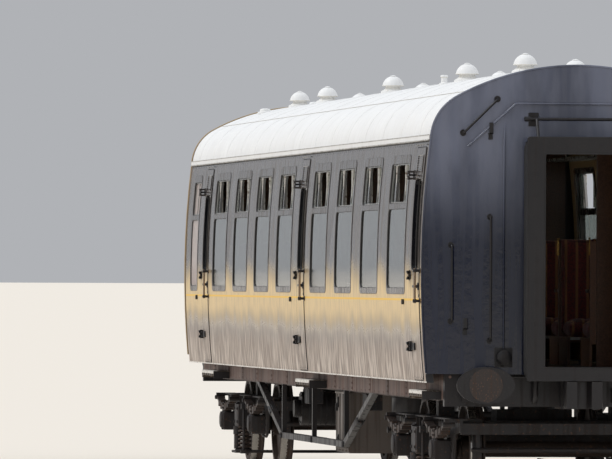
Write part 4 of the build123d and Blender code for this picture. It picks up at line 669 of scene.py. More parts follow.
FINISHES: dict[Look, Finish] = {
    # The golden colour about the waist and the pale and dark runs low down are painted reflection,
    # highlight and shade.
    Look.BODY: CoachPaint(
        "body_paint", tone(60, 52, 48), tone(98, 90, 84), tone(120, 104, 86), rough=(0.12, 0.32),
        streaks=0.5, streak_size=(0.05, 1.6), dust=0.3, dust_range=(0.8, 2.2), wear=0.06, wear_size=0.02,
        relief=0.0006, relief_scale=9.0, inner=tone(176, 150, 112), band=tone(236, 192, 92),
        warm=tone(236, 208, 158), mud=tone(158, 141, 127), bright=tone(222, 208, 194),
        shadow=tone(90, 76, 68)),
    # The end wall's pale bluish tone high up is a painted reflection of the sky.
    Look.END: Faded(
        "end_paint", tone(9, 16, 38), tone(32, 38, 56), tone(70, 74, 84), rough=(0.06, 0.26), streaks=0.4,
        streak_size=(0.07, 1.4), dust=0.2, dust_range=(0.9, 1.6), wear=0.05, relief=0.0005,
        relief_scale=12.0, inner=tone(176, 150, 112), facing=Facing.END, upper=tone(108, 112, 128),
        upper_range=(2.2, 3.3)),
    Look.ROOF: Finish(
        "roof_paint", tone(247, 247, 246), tone(206, 203, 198), tone(182, 178, 172), rough=(0.45, 0.7),
        streaks=0.1, streak_size=(0.12, 0.5), dust=0.28, dust_range=(3.2, 3.45), wear=0.04, wear_size=0.05,
        relief=0.001, relief_scale=7.0, inner=tone(226, 220, 204), facing=Facing.TOP),
    Look.FLOOR: Finish(
        "floor_cover", tone(46, 42, 40), tone(78, 72, 66), tone(112, 104, 94), rough=(0.35, 0.6),
        streaks=0.0, dust=0.0, wear=0.25, wear_size=0.015, relief=0.0003, relief_scale=200.0),
    Look.GLASS: Glazing(
        "glass", tone(206, 216, 208), tone(190, 186, 172), tone(200, 200, 190), rough=(0.0, 0.16), dust=0.5,
        relief=0.0004, relief_scale=1.6),
    Look.FROSTED: Glazing(
        "frosted_glass", tone(226, 212, 206), tone(206, 190, 182), tone(210, 200, 190), rough=(0.35, 0.6),
        relief=0.0008, relief_scale=110.0, clear=0.55),
    Look.ALUMINIUM: Finish(
        "aluminium", tone(176, 176, 174), tone(122, 118, 112), tone(208, 208, 206), rough=(0.25, 0.5),
        metallic=0.85, streaks=0.3, dust=0.2, wear=0.2, wear_size=0.01),
    Look.IRON: Ironwork(
        "black_iron", tone(20, 20, 24), tone(50, 44, 42), tone(96, 88, 82), rough=(0.35, 0.7), metallic=0.2,
        streaks=0.3, dust=0.2, wear=0.2, wear_size=0.008, painted=tone(84, 78, 76)),
    Look.RUBBER: Finish(
        "rubber", tone(26, 26, 27), tone(66, 62, 58), tone(60, 58, 56), rough=(0.5, 0.8), streaks=0.3,
        dust=0.3, wear=0.1, relief=0.0003, relief_scale=160.0),
    # Panelling near the side walls takes painted shade in the window reveals.
    Look.PANELLING: Timber(
        "interior_wood", tone(92, 62, 44), tone(66, 44, 32), tone(128, 96, 70), rough=(0.22, 0.4), wear=0.1,
        ring=0.12, relief=0.0001, dark_beyond=1.2),
    Look.SEAT_FRAME: Timber(
        "seat_frame", tone(104, 64, 36), tone(70, 42, 24), tone(140, 98, 60), rough=(0.25, 0.45), wear=0.2,
        ring=0.06, relief=0.0001),
    Look.MOQUETTE: Fabric(
        "moquette", tone(116, 40, 38), tone(72, 26, 30), tone(176, 132, 84), rough=(0.8, 0.95),
        relief=0.0012),
    Look.TABLE: Finish(
        "table_top", tone(172, 160, 138), tone(140, 126, 106), tone(196, 186, 168), rough=(0.18, 0.4),
        streaks=0.0, dust=0.0, wear=0.2, wear_size=0.02, relief=0.0001, relief_scale=300.0),
    # Near-black underframe: grime, darkened further as painted shade under the coach; the solebars take a
    # dust-brown above.
    Look.DIRT: Faded(
        "underframe_dirt", tone(22, 22, 27), tone(46, 42, 42), tone(84, 60, 46), rough=(0.6, 0.92),
        streaks=0.45, dust=0.4, dust_range=(0.0, 0.5), wear=0.3, wear_size=0.03, relief=0.0012,
        relief_scale=55.0, upper=tone(120, 98, 90)),
    Look.BATTERY: Finish(
        "battery_box", tone(112, 104, 98), tone(78, 68, 62), tone(96, 68, 52), rough=(0.45, 0.8),
        streaks=0.5, dust=0.5, dust_range=(0.2, 1.0), wear=0.3, wear_size=0.02, relief=0.0006),
    Look.STEP: Timber(
        "step_wood", tone(96, 82, 68), tone(62, 52, 44), tone(170, 160, 148), rough=(0.6, 0.85), wear=0.5,
        ring=0.05, relief=0.0006),
    Look.BELLOWS: Finish(
        "gangway_rubber", tone(24, 24, 27), tone(58, 56, 54), tone(50, 48, 48), rough=(0.55, 0.85),
        streaks=0.4, dust=0.35, dust_range=(1.0, 2.4), wear=0.15, relief=0.001, relief_scale=70.0),
    # Near-black bogie iron, darkened further as painted shade under the coach.
    Look.BOGIE: Finish(
        "bogie_iron", tone(24, 23, 27), tone(62, 54, 50), tone(96, 66, 48), rough=(0.55, 0.88), streaks=0.4,
        dust=0.5, dust_range=(0.0, 0.7), wear=0.3, wear_size=0.025, relief=0.0014, relief_scale=50.0),
    Look.SPRING: Finish(
        "spring_steel", tone(40, 36, 36), tone(84, 68, 58), tone(110, 76, 54), rough=(0.5, 0.8),
        metallic=0.2, streaks=0.3, dust=0.5, dust_range=(0.0, 0.8), wear=0.35, wear_size=0.015,
        relief=0.0006),
    Look.WHEEL: Finish(
        "wheel_steel", tone(44, 39, 38), tone(82, 66, 56), tone(108, 78, 58), rough=(0.45, 0.8),
        metallic=0.25, streaks=0.2, dust=0.5, dust_range=(0.0, 0.8), wear=0.3, wear_size=0.03,
        relief=0.0008),
    Look.TREAD: Finish(
        "wheel_steel", tone(178, 176, 172), tone(120, 108, 96), tone(200, 198, 194), rough=(0.16, 0.36),
        metallic=0.95, streaks=0.1, dust=0.1, wear=0.1),
    Look.GUTTER: Finish(
        "roof_paint", tone(190, 188, 184), tone(120, 114, 106), tone(140, 134, 126), rough=(0.4, 0.7),
        streaks=0.5, streak_size=(0.08, 0.2), dust=0.2, wear=0.2, wear_size=0.02),
    Look.BRASS: Finish(
        "black_iron", tone(168, 128, 66), tone(104, 78, 44), tone(204, 170, 104), rough=(0.2, 0.45),
        metallic=0.9, streaks=0.2, dust=0.1, wear=0.3, wear_size=0.006),
    Look.LAMP: Finish(
        "frosted_glass", tone(240, 234, 214), tone(214, 204, 180), tone(240, 236, 224), rough=(0.2, 0.35),
        streaks=0.0, dust=0.0, wear=0.05, relief=0.0002),
    Look.EDGE: Finish(
        "step_wood", tone(238, 234, 226), tone(150, 138, 124), tone(112, 92, 74), rough=(0.4, 0.75),
        streaks=0.3, streak_size=(0.03, 0.05), dust=0.0, wear=0.45, wear_size=0.03, relief=0.0006),
    Look.TIMBER: Timber(
        "interior_wood", tone(92, 54, 30), tone(62, 36, 20), tone(130, 88, 54), rough=(0.15, 0.35),
        wear=0.15, ring=0.05, relief=0.0001),
    Look.PIPING: Fabric(
        "moquette", tone(70, 26, 28), tone(52, 20, 24), tone(96, 44, 40), rough=(0.6, 0.8), relief=0.0003,
        thread=0.004),
    Look.FRAME: Finish(
        "body_paint", tone(66, 62, 62), tone(104, 98, 94), tone(130, 120, 110), rough=(0.2, 0.45),
        streaks=0.35, streak_size=(0.05, 0.6), dust=0.35, dust_range=(1.6, 2.2), wear=0.1, wear_size=0.015,
        relief=0.0003, relief_scale=30.0),
    Look.RAIL: Finish(
        "black_iron", tone(150, 132, 114), tone(96, 82, 68), tone(190, 176, 158), rough=(0.2, 0.5),
        metallic=0.85, streaks=0.2, dust=0.1, wear=0.25, wear_size=0.008),
}


# Stage


def linked(name: str, data: object) -> Thing:
    """A new object in the scene, at the origin.

    Args:
        name: the object's name.
        data: its mesh, light, camera or other data.

    Returns:
        The object.
    """
    made = bpy.data.objects.new(name, data)
    bpy.context.scene.collection.objects.link(made)
    return made


def evaluated(holder: Thing) -> Mesh:
    """What an object's modifiers make of it, as a plain mesh."""
    return bpy.data.meshes.new_from_object(holder.evaluated_get(bpy.context.evaluated_depsgraph_get()))


@dataclass(frozen=True)
class Studio:
    """The plain floor, the soft light and the camera at the photograph's angle."""

    width: int = 612
    focal_pixels: float = 8905.0
    eye: Point = (88.24, -12.14, 2.0165)
    yaw: float = math.radians(7.053)
    pitch: float = math.radians(0.321)
    roll: float = math.radians(0.232)
    floor_half: float = 4000.0
    floor_colour: Colour = tone(236, 228, 216)
    horizon: Colour = tone(176, 178, 182)
    zenith: Colour = tone(228, 232, 238)
    sun_energy: float = 1.3
    sun_angle: float = math.radians(25)
    sun_from: Point = (-0.12, -0.62, 0.78)

    def build(self) -> None:
        """Make the floor, world, sun and camera."""
        self._world()
        self._floor()
        self._sun()
        self._camera()
        bpy.context.scene.view_settings.view_transform = "Standard"

    def _world(self) -> None:
        """A soft sky that is grey at the horizon and pale overhead."""
        world = bpy.data.worlds.new("studio")
        bpy.context.scene.world = world
        world.use_nodes = True
        sheet = NodeSheet(world.node_tree)
        up = sheet.parts(sheet.add("ShaderNodeTexCoord").outputs["Generated"])[2]
        colour = sheet.mix(sheet.spread(up, 0.05, 0.7), self.horizon, self.zenith)
        light = sheet.out("ShaderNodeBackground", {"Color": colour, "Strength": 1.0})
        sheet.add("ShaderNodeOutputWorld", {"Surface": light})

    def _floor(self) -> None:
        """A very wide plain floor under the wheel flanges."""
        half = self.floor_half
        mesh = bpy.data.meshes.new("floor_plane")
        mesh.from_pydata(
            [(-half, -half, 0), (half, -half, 0), (half, half, 0), (-half, half, 0)], [], [(0, 1, 2, 3)])
        material = bpy.data.materials.new("plain floor")
        material.use_nodes = True
        sheet = NodeSheet(material.node_tree)
        shader = sheet.out("ShaderNodeBsdfPrincipled", {
            "Base Color": (*self.floor_colour, 1.0), "Roughness": 1.0, "Specular IOR Level": 0.0})
        sheet.add("ShaderNodeOutputMaterial", {"Surface": shader})
        mesh.materials.append(material)
        floor = linked("studio_floor", mesh)

    def _sun(self) -> None:
        """One broad soft sun from above the near side."""
        data = bpy.data.lights.new("key", "SUN")
        data.energy = self.sun_energy
        data.angle = self.sun_angle
        lamp = linked("key", data)
        lamp.rotation_mode = "QUATERNION"
        lamp.rotation_quaternion = Vector(self.sun_from).to_track_quat("Z", "Y")

    def _camera(self) -> None:
        """The camera far off the front end, looking along the left side."""
        data = bpy.data.cameras.new("camera")
        data.sensor_width = 36.0
        data.lens = self.focal_pixels * data.sensor_width / self.width
        data.clip_end = 9000.0
        camera = linked("camera", data)
        level = math.cos(self.pitch)
        look = Vector((-math.cos(self.yaw) * level, math.sin(self.yaw) * level, math.sin(self.pitch)))
        right = look.cross(Vector(UP)).normalized()
        up = right.cross(look)
        lean, rise = math.cos(self.roll), math.sin(self.roll)
        columns = (lean * right + rise * up, lean * up - rise * right, -look)
        camera.matrix_world = Matrix.Translation(self.eye) @ Matrix(columns).transposed().to_4x4()
        bpy.context.scene.camera = camera


# Meshes and geometry trees


class Shape:
    """Collects the faces of one piece."""

    def __init__(self) -> None:
        """Start empty."""
        self.points: list[Point] = []
        self.faces: list[tuple[int, ...]] = []

    def block(self, low: Point, high: Point, soft: float = 0.002) -> "Shape":
        """Add a box with chamfered edges.

        Args:
            low: one of its corners.
            high: the corner across from it.
            soft: the chamfer's size.

        Returns:
            The shape.
        """
        middle = [(a + b) / 2 for a, b in zip(low, high)]
        half = [abs(b - a) / 2 for a, b in zip(low, high)]
        soft = min(soft, 0.45 * min(half))
        number = {}
        for corner in range(8):
            sign = [1 if corner >> axis & 1 else -1 for axis in range(3)]
            for flat in range(3):
                number[corner, flat] = len(self.points)
                self.points.append(tuple(
                    middle[axis] + sign[axis] * (half[axis] - (0.0 if axis == flat else soft))
                    for axis in range(3)))
        square = ((0, 0), (1, 0), (1, 1), (0, 1))
        for axis in range(3):
            one, two = (axis + 1) % 3, (axis + 2) % 3
            around_axis = [(a << one) | (b << two) for a, b in square]
            self.faces += [
                tuple(number[side << axis | near, axis] for near in around_axis) for side in (0, 1)]
            for near in around_axis:
                far = near | (1 << axis)
                self.faces.append(
                    (number[near, one], number[far, one], number[far, two], number[near, two]))
        self.faces += [tuple(number[corner, flat] for flat in range(3)) for corner in range(8)]
        return self

    def turned(self, profile: Sequence[Pair], start: Point, along: Point, sides: int = 24,
               ring: bool = False) -> "Shape":
        """Add a round piece.

        Args:
            profile: distance along the axis and radius, from one closed end to the other.
            start: where the axis begins.
            along: which way the axis goes.
            sides: how many flats the round has.
            ring: whether the profile closes on itself, round a hole.

        Returns:
            The shape.
        """
        axis = Vector(along).normalized()
        side = axis.orthogonal().normalized()
        other = axis.cross(side)
        first, count = len(self.points), len(profile)
        for reach, radius in profile:
            for index in range(sides):
                angle = 2 * math.pi * index / sides
                out = math.cos(angle) * side + math.sin(angle) * other
                self.points.append(tuple(Vector(start) + reach * axis + radius * out))
        for row in range(count if ring else count - 1):
            here, after = first + row * sides, first + (row + 1) % count * sides
            self.faces += [
                (here + i, here + (i + 1) % sides, after + (i + 1) % sides, after + i)
                for i in range(sides)]
        if not ring:
            self.faces += [tuple(range(end, end + sides)) for end in (first, first + (count - 1) * sides)]
        return self

    def prism(self, outline: Sequence[Point], shift: Point) -> "Shape":
        """Add a flat outline pushed along, with both ends closed.

        Args:
            outline: its corners in order.
            shift: how far and which way it is pushed.

        Returns:
            The shape.
        """
        first, count = len(self.points), len(outline)
        self.points += [tuple(point) for point in outline]
        self.points += [tuple(a + b for a, b in zip(point, shift)) for point in outline]
        self.faces += [
            (first + i, first + (i + 1) % count, first + count + (i + 1) % count, first + count + i)
            for i in range(count)]
        self.faces += [tuple(range(end, end + count)) for end in (first, first + count)]
        return self

    def mesh(self, name: str) -> Mesh:
        """The shape as a mesh.

        Args:
            name: the mesh's name.

        Returns:
            The mesh.
        """
        mesh = bpy.data.meshes.new(name)
        mesh.from_pydata(self.points, [], self.faces)
        return mesh


def settled(mesh: Mesh, angle: float) -> Mesh:
    """Merge doubles, turn the faces outwards and keep only the sharp edges sharp.

    Args:
        mesh: the mesh, changed in place.
        angle: in degrees, where an edge counts as sharp.

    Returns:
        The same mesh.
    """
    work = bmesh.new()
    work.from_mesh(mesh)
    bmesh.ops.remove_doubles(work, verts=work.verts, dist=1e-5)
    bmesh.ops.recalc_face_normals(work, faces=work.faces)
    for face in work.faces:
        face.smooth = True
    work.to_mesh(mesh)
    work.free()
    mesh.set_sharp_from_angle(angle=math.radians(angle))
    mesh.update()
    return mesh


class GeometryTree:
    """A geometry tree with named inputs, run on a mesh and taken back as a plain mesh."""

    title = "plain"
    sizes: dict[str, str] = {}

    def __init__(self) -> None:
        """Build the tree once."""
        self.group = bpy.data.node_groups.new(self.title, "GeometryNodeTree")
        sockets = {"Geometry": "Geometry", **self.sizes, "Material": "Material"}
        for name, kind in sockets.items():
            self.group.interface.new_socket(name, in_out="INPUT", socket_type=f"NodeSocket{kind}")
        self.group.interface.new_socket("Geometry", in_out="OUTPUT", socket_type="NodeSocketGeometry")
        sheet = NodeSheet(self.group)
        given = sheet.add("NodeGroupInput").outputs
        real = sheet.out("GeometryNodeRealizeInstances", {"Geometry": self.shape(sheet, given)})
        dressed = sheet.out("GeometryNodeSetMaterial", {"Geometry": real, "Material": given["Material"]})
        sheet.add("NodeGroupOutput", {"Geometry": dressed})

    def shape(self, sheet: NodeSheet, given: dict) -> Socket:
        """The part of the tree that makes the geometry."""
        return given["Geometry"]

    @staticmethod
    def swept(sheet: NodeSheet, given: dict, bend: object, profile: Socket,
              capped: bool) -> Socket:
        """A profile swept along every path.

        Args:
            sheet: the tree's node sheet.
            given: the tree's inputs.
            bend: the radius of the paths' corners.
            profile: the profile's curve.
            capped: whether the ends are closed.

        Returns:
            The swept mesh.
        """
        paths = sheet.out("GeometryNodeMeshToCurve", {"Mesh": given["Geometry"]})
        bent = sheet.out("GeometryNodeFilletCurve", {
            "Curve": paths, "Count": 4, "Radius": bend, "Limit Radius": True}, mode="POLY")
        return sheet.out("GeometryNodeCurveToMesh", {
            "Curve": bent, "Profile Curve": profile, "Fill Caps": capped})

    def run(self, mesh: Mesh, material: bpy.types.Material, **values: object) -> Mesh:
        """Run the tree on a mesh.

        Args:
            mesh: the points or paths that it works on.
            material: what the result is made of.
            values: its sizes by name.

        Returns:
            The plain mesh that comes out.
        """
        holder = linked(mesh.name, mesh)
        modifier = holder.modifiers.new(self.title, "NODES")
        modifier.node_group = self.group
        values["Material"] = material
        for item in self.group.interface.items_tree:
            if item.in_out == "INPUT" and item.name in values:
                modifier[item.identifier] = values[item.name]
        made = evaluated(holder)
        holder.modifiers.remove(modifier)
        bpy.data.objects.remove(holder)
        return made


class StudTree(GeometryTree):
    """Bolt, rivet or screw heads on washers, one at each point, turned to its facing."""

    title = "studs"
    sizes = {"Radius": "Float", "Height": "Float", "Corners": "Int"}

    def shape(self, sheet: NodeSheet, given: dict) -> Socket:
        """A head and a washer on every point.

        Args:
            sheet: the tree's node sheet.
            given: the tree's inputs by name.

        Returns:
            The heads and washers.
        """
        radius, height = given["Radius"], given["Height"]
        head = sheet.out("GeometryNodeMeshCylinder", {
            "Vertices": given["Corners"], "Depth": height, "Radius": radius})
        lifted = sheet.out("GeometryNodeTransform", {
            "Geometry": head, "Translation": sheet.vector(0.0, 0.0, sheet.product(height, 0.5))})
        washer = sheet.out("GeometryNodeMeshCylinder", {
            "Vertices": 12, "Depth": sheet.product(height, 0.4), "Radius": sheet.product(radius, 1.35)})
        both = sheet.add("GeometryNodeJoinGeometry", {"Geometry": lifted})
        sheet.tree.links.new(washer, both.inputs[0])
        facing = sheet.out("GeometryNodeInputNamedAttribute", {"Name": "facing"}, data_type="FLOAT_VECTOR")
        turn = sheet.out("FunctionNodeAlignRotationToVector", {"Vector": facing}, axis="Z")
        spots = sheet.out("GeometryNodeMeshToPoints", {"Mesh": given["Geometry"]})
        return sheet.out("GeometryNodeInstanceOnPoints", {
            "Points": spots, "Instance": both.outputs[0], "Rotation": turn})


class PipeTree(GeometryTree):
    """Round bars along paths, with their corners bent to a radius."""

    title = "pipes"
    sizes = {"Radius": "Float", "Bend": "Float", "Sides": "Int"}

    def shape(self, sheet: NodeSheet, given: dict) -> Socket:
        """A ring swept along every path."""
        ring = sheet.out("GeometryNodeCurvePrimitiveCircle", {
            "Resolution": given["Sides"], "Radius": given["Radius"]})
        return self.swept(sheet, given, given["Bend"], ring, True)


class BarTree(GeometryTree):
    """Flat bars along paths; Width lies level across the path and Height stands up."""

    title = "flat bars"
    sizes = {"Width": "Float", "Height": "Float", "Bend": "Float"}

    def shape(self, sheet: NodeSheet, given: dict) -> Socket:
        """A rectangle swept along every path."""
        flat = sheet.out("GeometryNodeCurvePrimitiveQuadrilateral", {
            "Width": given["Width"], "Height": given["Height"]})
        return self.swept(sheet, given, given["Bend"], flat, True)


class PleatTree(GeometryTree):
    """A row of folded ridges, each the same closed loop moved along the coach."""

    title = "pleats"
    sizes = {"Pitch": "Float", "Count": "Int", "Depth": "Float"}

    def shape(self, sheet: NodeSheet, given: dict) -> Socket:
        """One ridge swept round the loop, repeated along X.

        Args:
            sheet: the tree's node sheet.
            given: the tree's inputs by name.

        Returns:
            The row of ridges.
        """
        pitch = given["Pitch"]
        ridge = sheet.out("GeometryNodeCurvePrimitiveCircle", {"Resolution": 6, "Radius": 0.5})
        size = sheet.vector(sheet.product(pitch, 1.04), given["Depth"], 1.0)
        flat = sheet.out("GeometryNodeTransform", {"Geometry": ridge, "Scale": size})
        fold = self.swept(sheet, given, 0.06, flat, False)
        row = sheet.out("GeometryNodeMeshLine", {"Count": given["Count"], "Offset": sheet.vector(pitch)})
        return sheet.out("GeometryNodeInstanceOnPoints", {"Points": row, "Instance": fold})


@dataclass(frozen=True)
class Stud:
    """One bolt head: where it sits and which way it looks."""

    place: Point
    facing: Point


class Shop:
    """Holds the finishes and trees, and makes meshes ride on their bodies."""

    def __init__(self) -> None:
        """Build every finish and tree once."""
        effects = Effects()
        self.materials = {
            look: finish.build(look.value.replace(" ", "_"), effects) for look, finish in FINISHES.items()}
        self.stud_tree = StudTree()
        self.pipe_tree = PipeTree()
        self.bar_tree = BarTree()
        self.pleat_tree = PleatTree()
        self.count = 0

    def dress_solids(self) -> None:
        """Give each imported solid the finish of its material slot."""
        by_slot = {finish.slot: look for look, finish in reversed(FINISHES.items())}
        own = {"window_frames": Look.FRAME, "grab_handles": Look.RAIL}
        for name, node in frame["nodes"].items():
            for place in node.material_slots:
                look = own.get(name, by_slot[place.material.name.split(".")[0]])
                place.material = self.materials[look]
            LOG.info("dressed %s", name)

    def piece(self, name: str, mesh: Mesh, body: str, look: Look, angle: float) -> Thing:
        """Make a mesh a piece of the coach.

        Args:
            name: the piece's name.
            mesh: its mesh, in the frame.
            body: the body that it rides on.
            look: its finish.
            angle: in degrees, where an edge counts as sharp.

        Returns:
            The new object.
        """
        settled(mesh, angle)
        mesh.materials.clear()
        mesh.materials.append(self.materials[look])
        made = linked(name, mesh)
        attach(made, body)
        self.count += 1
        LOG.info("made %s on %s with %d faces", name, body, len(mesh.polygons))
        return made


@dataclass(frozen=True)
class Assembly:
    """A sub-assembly, which makes its pieces on one body, with one ending on their names."""

    shop: Shop
    body: str = "coach_body"
    ending: str = ""

    def piece(self, name: str, mesh: Mesh, look: Look, angle: float = 32.0) -> Thing:
        """Make a mesh a piece of this body."""
        return self.shop.piece(name + self.ending, mesh, self.body, look, angle)

    def solid(self, name: str, shape: Shape, look: Look, angle: float = 32.0) -> Thing:
        """Make a shape a piece of this body."""
        return self.piece(name, shape.mesh(name + self.ending), look, angle)

    def studs(self, name: str, spots: Iterable[Stud], radius: float, height: float, look: Look,
              corners: int = 6) -> Thing:
        """Set bolt or screw heads.

        Args:
            name: the piece's name.
            spots: where the heads sit.
            radius: a head's radius.
            height: how far a head stands out.
            look: their finish.
            corners: 6 for a bolt, more for a rivet.

        Returns:
            The new object.
        """
        spots = list(spots)
        mesh = bpy.data.meshes.new(name + self.ending)
        mesh.from_pydata([spot.place for spot in spots], [], [])
        facing = mesh.attributes.new("facing", "FLOAT_VECTOR", "POINT")
        facing.data.foreach_set("vector", [part for spot in spots for part in spot.facing])
        made = self.shop.stud_tree.run(
            mesh, self.shop.materials[look], Radius=radius, Height=height, Corners=corners)
        return self.piece(name, made, look)

    def lines(self, name: str, paths: Iterable[Sequence[Point]], closed: bool) -> Mesh:
        """A mesh of edges along paths.

        Args:
            name: the mesh's name.
            paths: the points of each path.
            closed: whether each path ends where it starts.

        Returns:
            The mesh.
        """
        points: list[Point] = []
        edges = []
        for path in paths:
            first = len(points)
            points += [tuple(point) for point in path]
            edges += [(first + i, first + i + 1) for i in range(len(path) - 1)]
            if closed:
                edges.append((len(points) - 1, first))
        mesh = bpy.data.meshes.new(name + self.ending)
        mesh.from_pydata(points, edges, [])
        return mesh

    def pipes(self, name: str, paths: Iterable[Sequence[Point]], radius: float, look: Look,
              bend: float = 0.0, sides: int = 8, closed: bool = False) -> Thing:
        """Run round bars along paths.

        Args:
            name: the piece's name.
            paths: the points that each bar follows.
            radius: the bars' radius.
            look: their finish.
            bend: the radius of their corners.
            sides: how many flats the round has.
            closed: whether each path ends where it starts.

        Returns:
            The new object.
        """
        made = self.shop.pipe_tree.run(
            self.lines(name, paths, closed), self.shop.materials[look], Radius=radius, Bend=bend,
            Sides=sides)
        return self.piece(name, made, look, 50.0)

    def bars(self, name: str, paths: Iterable[Sequence[Point]], width: float, height: float, look: Look,
             bend: float = 0.0, closed: bool = False) -> Thing:
        """Run flat bars along paths; the arguments are those of pipes, with a width and a height."""
        made = self.shop.bar_tree.run(
            self.lines(name, paths, closed), self.shop.materials[look], Width=width, Height=height,
            Bend=bend)
        return self.piece(name, made, look)


# The coach's own lines


@dataclass(frozen=True)
class BodySection:
    """The body's curved cross section and bowed ends, heights above the rail."""

    skirt: Pair = (1.325, 1.07)
    waist: Pair = (1.372, 1.93)
    cantrail: Pair = (1.3, 3.233)
    ridge: float = 3.9
    shoulder: float = 0.45
    half_length: float = 9.65
    bow: float = 0.18

    def half(self, z: float, out: float = 0.0) -> float:
        """Half width of the side at a height, from the circle through its three points.

        Args:
            z: the height.
            out: how far outwards the result is moved.

        Returns:
            The distance from the middle line.
        """
        (ay, az), (by, bz), (cy, cz) = self.skirt, self.waist, self.cantrail
        d = 2 * (ay * (bz - cz) + by * (cz - az) + cy * (az - bz))
        sa, sb, sc = ay**2 + az**2, by**2 + bz**2, cy**2 + cz**2
        uy = (sa * (bz - cz) + sb * (cz - az) + sc * (az - bz)) / d
        uz = (sa * (cy - by) + sb * (ay - cy) + sc * (by - ay)) / d
        return uy + out + math.sqrt((ay - uy) ** 2 + (az - uz) ** 2 - (z - uz) ** 2)

    def roof_arc(self, out: float, count: int = 12) -> list[Pair]:
        """Points over the roof from the left gutter to the right one.

        Args:
            out: how far outwards they are moved.
            count: how many steps each of the four arcs has.

        Returns:
            Points (y, z).
        """
        edge, foot = self.cantrail
        rise = self.ridge - foot + out
        shoulder = self.shoulder + out
        flat = edge + out - shoulder
        crown = (flat**2 + rise**2 - shoulder**2) / (2 * (rise - shoulder))
        crown_z = foot + rise - crown
        lean = math.atan2(foot - crown_z, flat)
        right = [
            (flat + shoulder * math.cos(lean * i / count), foot + shoulder * math.sin(lean * i / count))
            for i in range(count)]
        for i in range(count + 1):
            angle = lean + (math.pi / 2 - lean) * i / count
            right.append((crown * math.cos(angle), crown_z + crown * math.sin(angle)))
        return [(-y, z) for y, z in right] + [(y, z) for y, z in reversed(right[:-1])]

    def roof_z(self, y: float) -> float:
        """Height of the roof at a distance from the middle line."""
        arc = self.roof_arc(0.0, 40)
        return float(np.interp(y, [point[0] for point in arc], [point[1] for point in arc]))

    def end_x(self, y: float) -> float:
        """How far out the bowed end wall is at a distance from the middle line."""
        bow = (self.waist[0] ** 2 + self.bow**2) / (2 * self.bow)
        return self.half_length + self.bow - bow + math.sqrt(bow**2 - y**2)


SECTION = BodySection()
SALOON_STARTS = (1.19, -7.31)
BAY = 1.905
BAYS = 4
WINDOW_XS = tuple(start + (bay + 0.5) * BAY for start in SALOON_STARTS for bay in range(BAYS))
ENDS = {1: "front", -1: "rear"}


class Side(Enum):
    """The two long sides."""

    LEFT = -1
    RIGHT = 1

    @property
    def out(self) -> Point:
        """The way out of the coach."""
        return (0.0, float(self.value), 0.0)

    def at(self, x: float, y: float, z: float) -> Point:
        """A point at a distance y from the middle line."""
        return raised(x, self.value * y, z)

    def skin(self, x: float, z: float, out: float = 0.0) -> Point:
        """A point of the curved side, moved outwards by out."""
        return self.at(x, SECTION.half(z, out), z)

    def laid(self, points: Iterable[Pair], x: float, out: float) -> list[Point]:
        """Side-view points laid on the curved side, moved along to x and outwards by out."""
        return [self.skin(x + along, z, out) for along, z in points]


@dataclass(frozen=True)
class DoorPlace:
    """One side door: its name and where its middle is."""

    name: str
    x: float
    side: Side

    def at(self, along: float, out: float, z: float) -> Point:
        """A point on this door, along from its middle, out from the skin, at a height above the rail."""
        return self.side.skin(self.x - self.side.value * along, z, out)

    def line(self, points: Iterable[Pair], out: float) -> list[Point]:
        """Points (along, z) laid on this door, out from the skin."""
        return [self.at(along, out, z) for along, z in points]


DOORS = tuple(
    DoorPlace(f"{place}_{side.name.lower()}", x, side)
    for place, x in (("front", 9.16), ("middle", 0.75), ("rear", -7.7)) for side in Side)
HINGES = ((1.39, 0.03), (2.03, 0.003), (2.93, 0.003))


def rounded(half: float, low: float, high: float, corner: float, rows: int = 5) -> list[Pair]:
    """A closed rounded rectangle in the side view, with extra points up its sides for the body's curve.

    Args:
        half: half its width.
        low: its lowest height.
        high: its highest height.
        corner: the radius of its corners.
        rows: how many steps each upright has.

    Returns:
        Points (along, z) round the rectangle.
    """
    points = []
    centres = (
        (half - corner, high - corner), (-half + corner, high - corner), (-half + corner, low + corner),
        (half - corner, low + corner))
    for turn, (x, z) in enumerate(centres):
        for step in range(5):
            angle = math.pi / 2 * (turn + step / 4)
            points.append((x + corner * math.cos(angle), z + corner * math.sin(angle)))
        rise = centres[(turn + 1) % 4][1] - z
        if turn in (1, 3):
            points += [(points[-1][0], z + rise * row / rows) for row in range(1, rows)]
    return points


def full_turn(count: int) -> Sequence[float]:
    """Angles evenly round a circle."""
    return np.linspace(0, 2 * math.pi, count, endpoint=False)


def around(centre: Point, radius: float, angles: Iterable[float], upright: bool = False) -> list[Point]:
    """Points round a centre.

    Args:
        centre: the middle, above the rail.
        radius: how far the points are from it.
        angles: where they are round it.
        upright: whether the circle stands in line with the coach instead of lying level.

    Returns:
        The points in the frame.
    """
    x, y, z = centre
    spots = [(radius * math.cos(angle), radius * math.sin(angle)) for angle in angles]
    return [raised(x + a, y, z + b) if upright else raised(x + a, y + b, z) for a, b in spots]


def facing(points: Iterable[Point], way: Point) -> list[Stud]:
    """Studs at points, all looking one way."""
    return [Stud(point, way) for point in points]


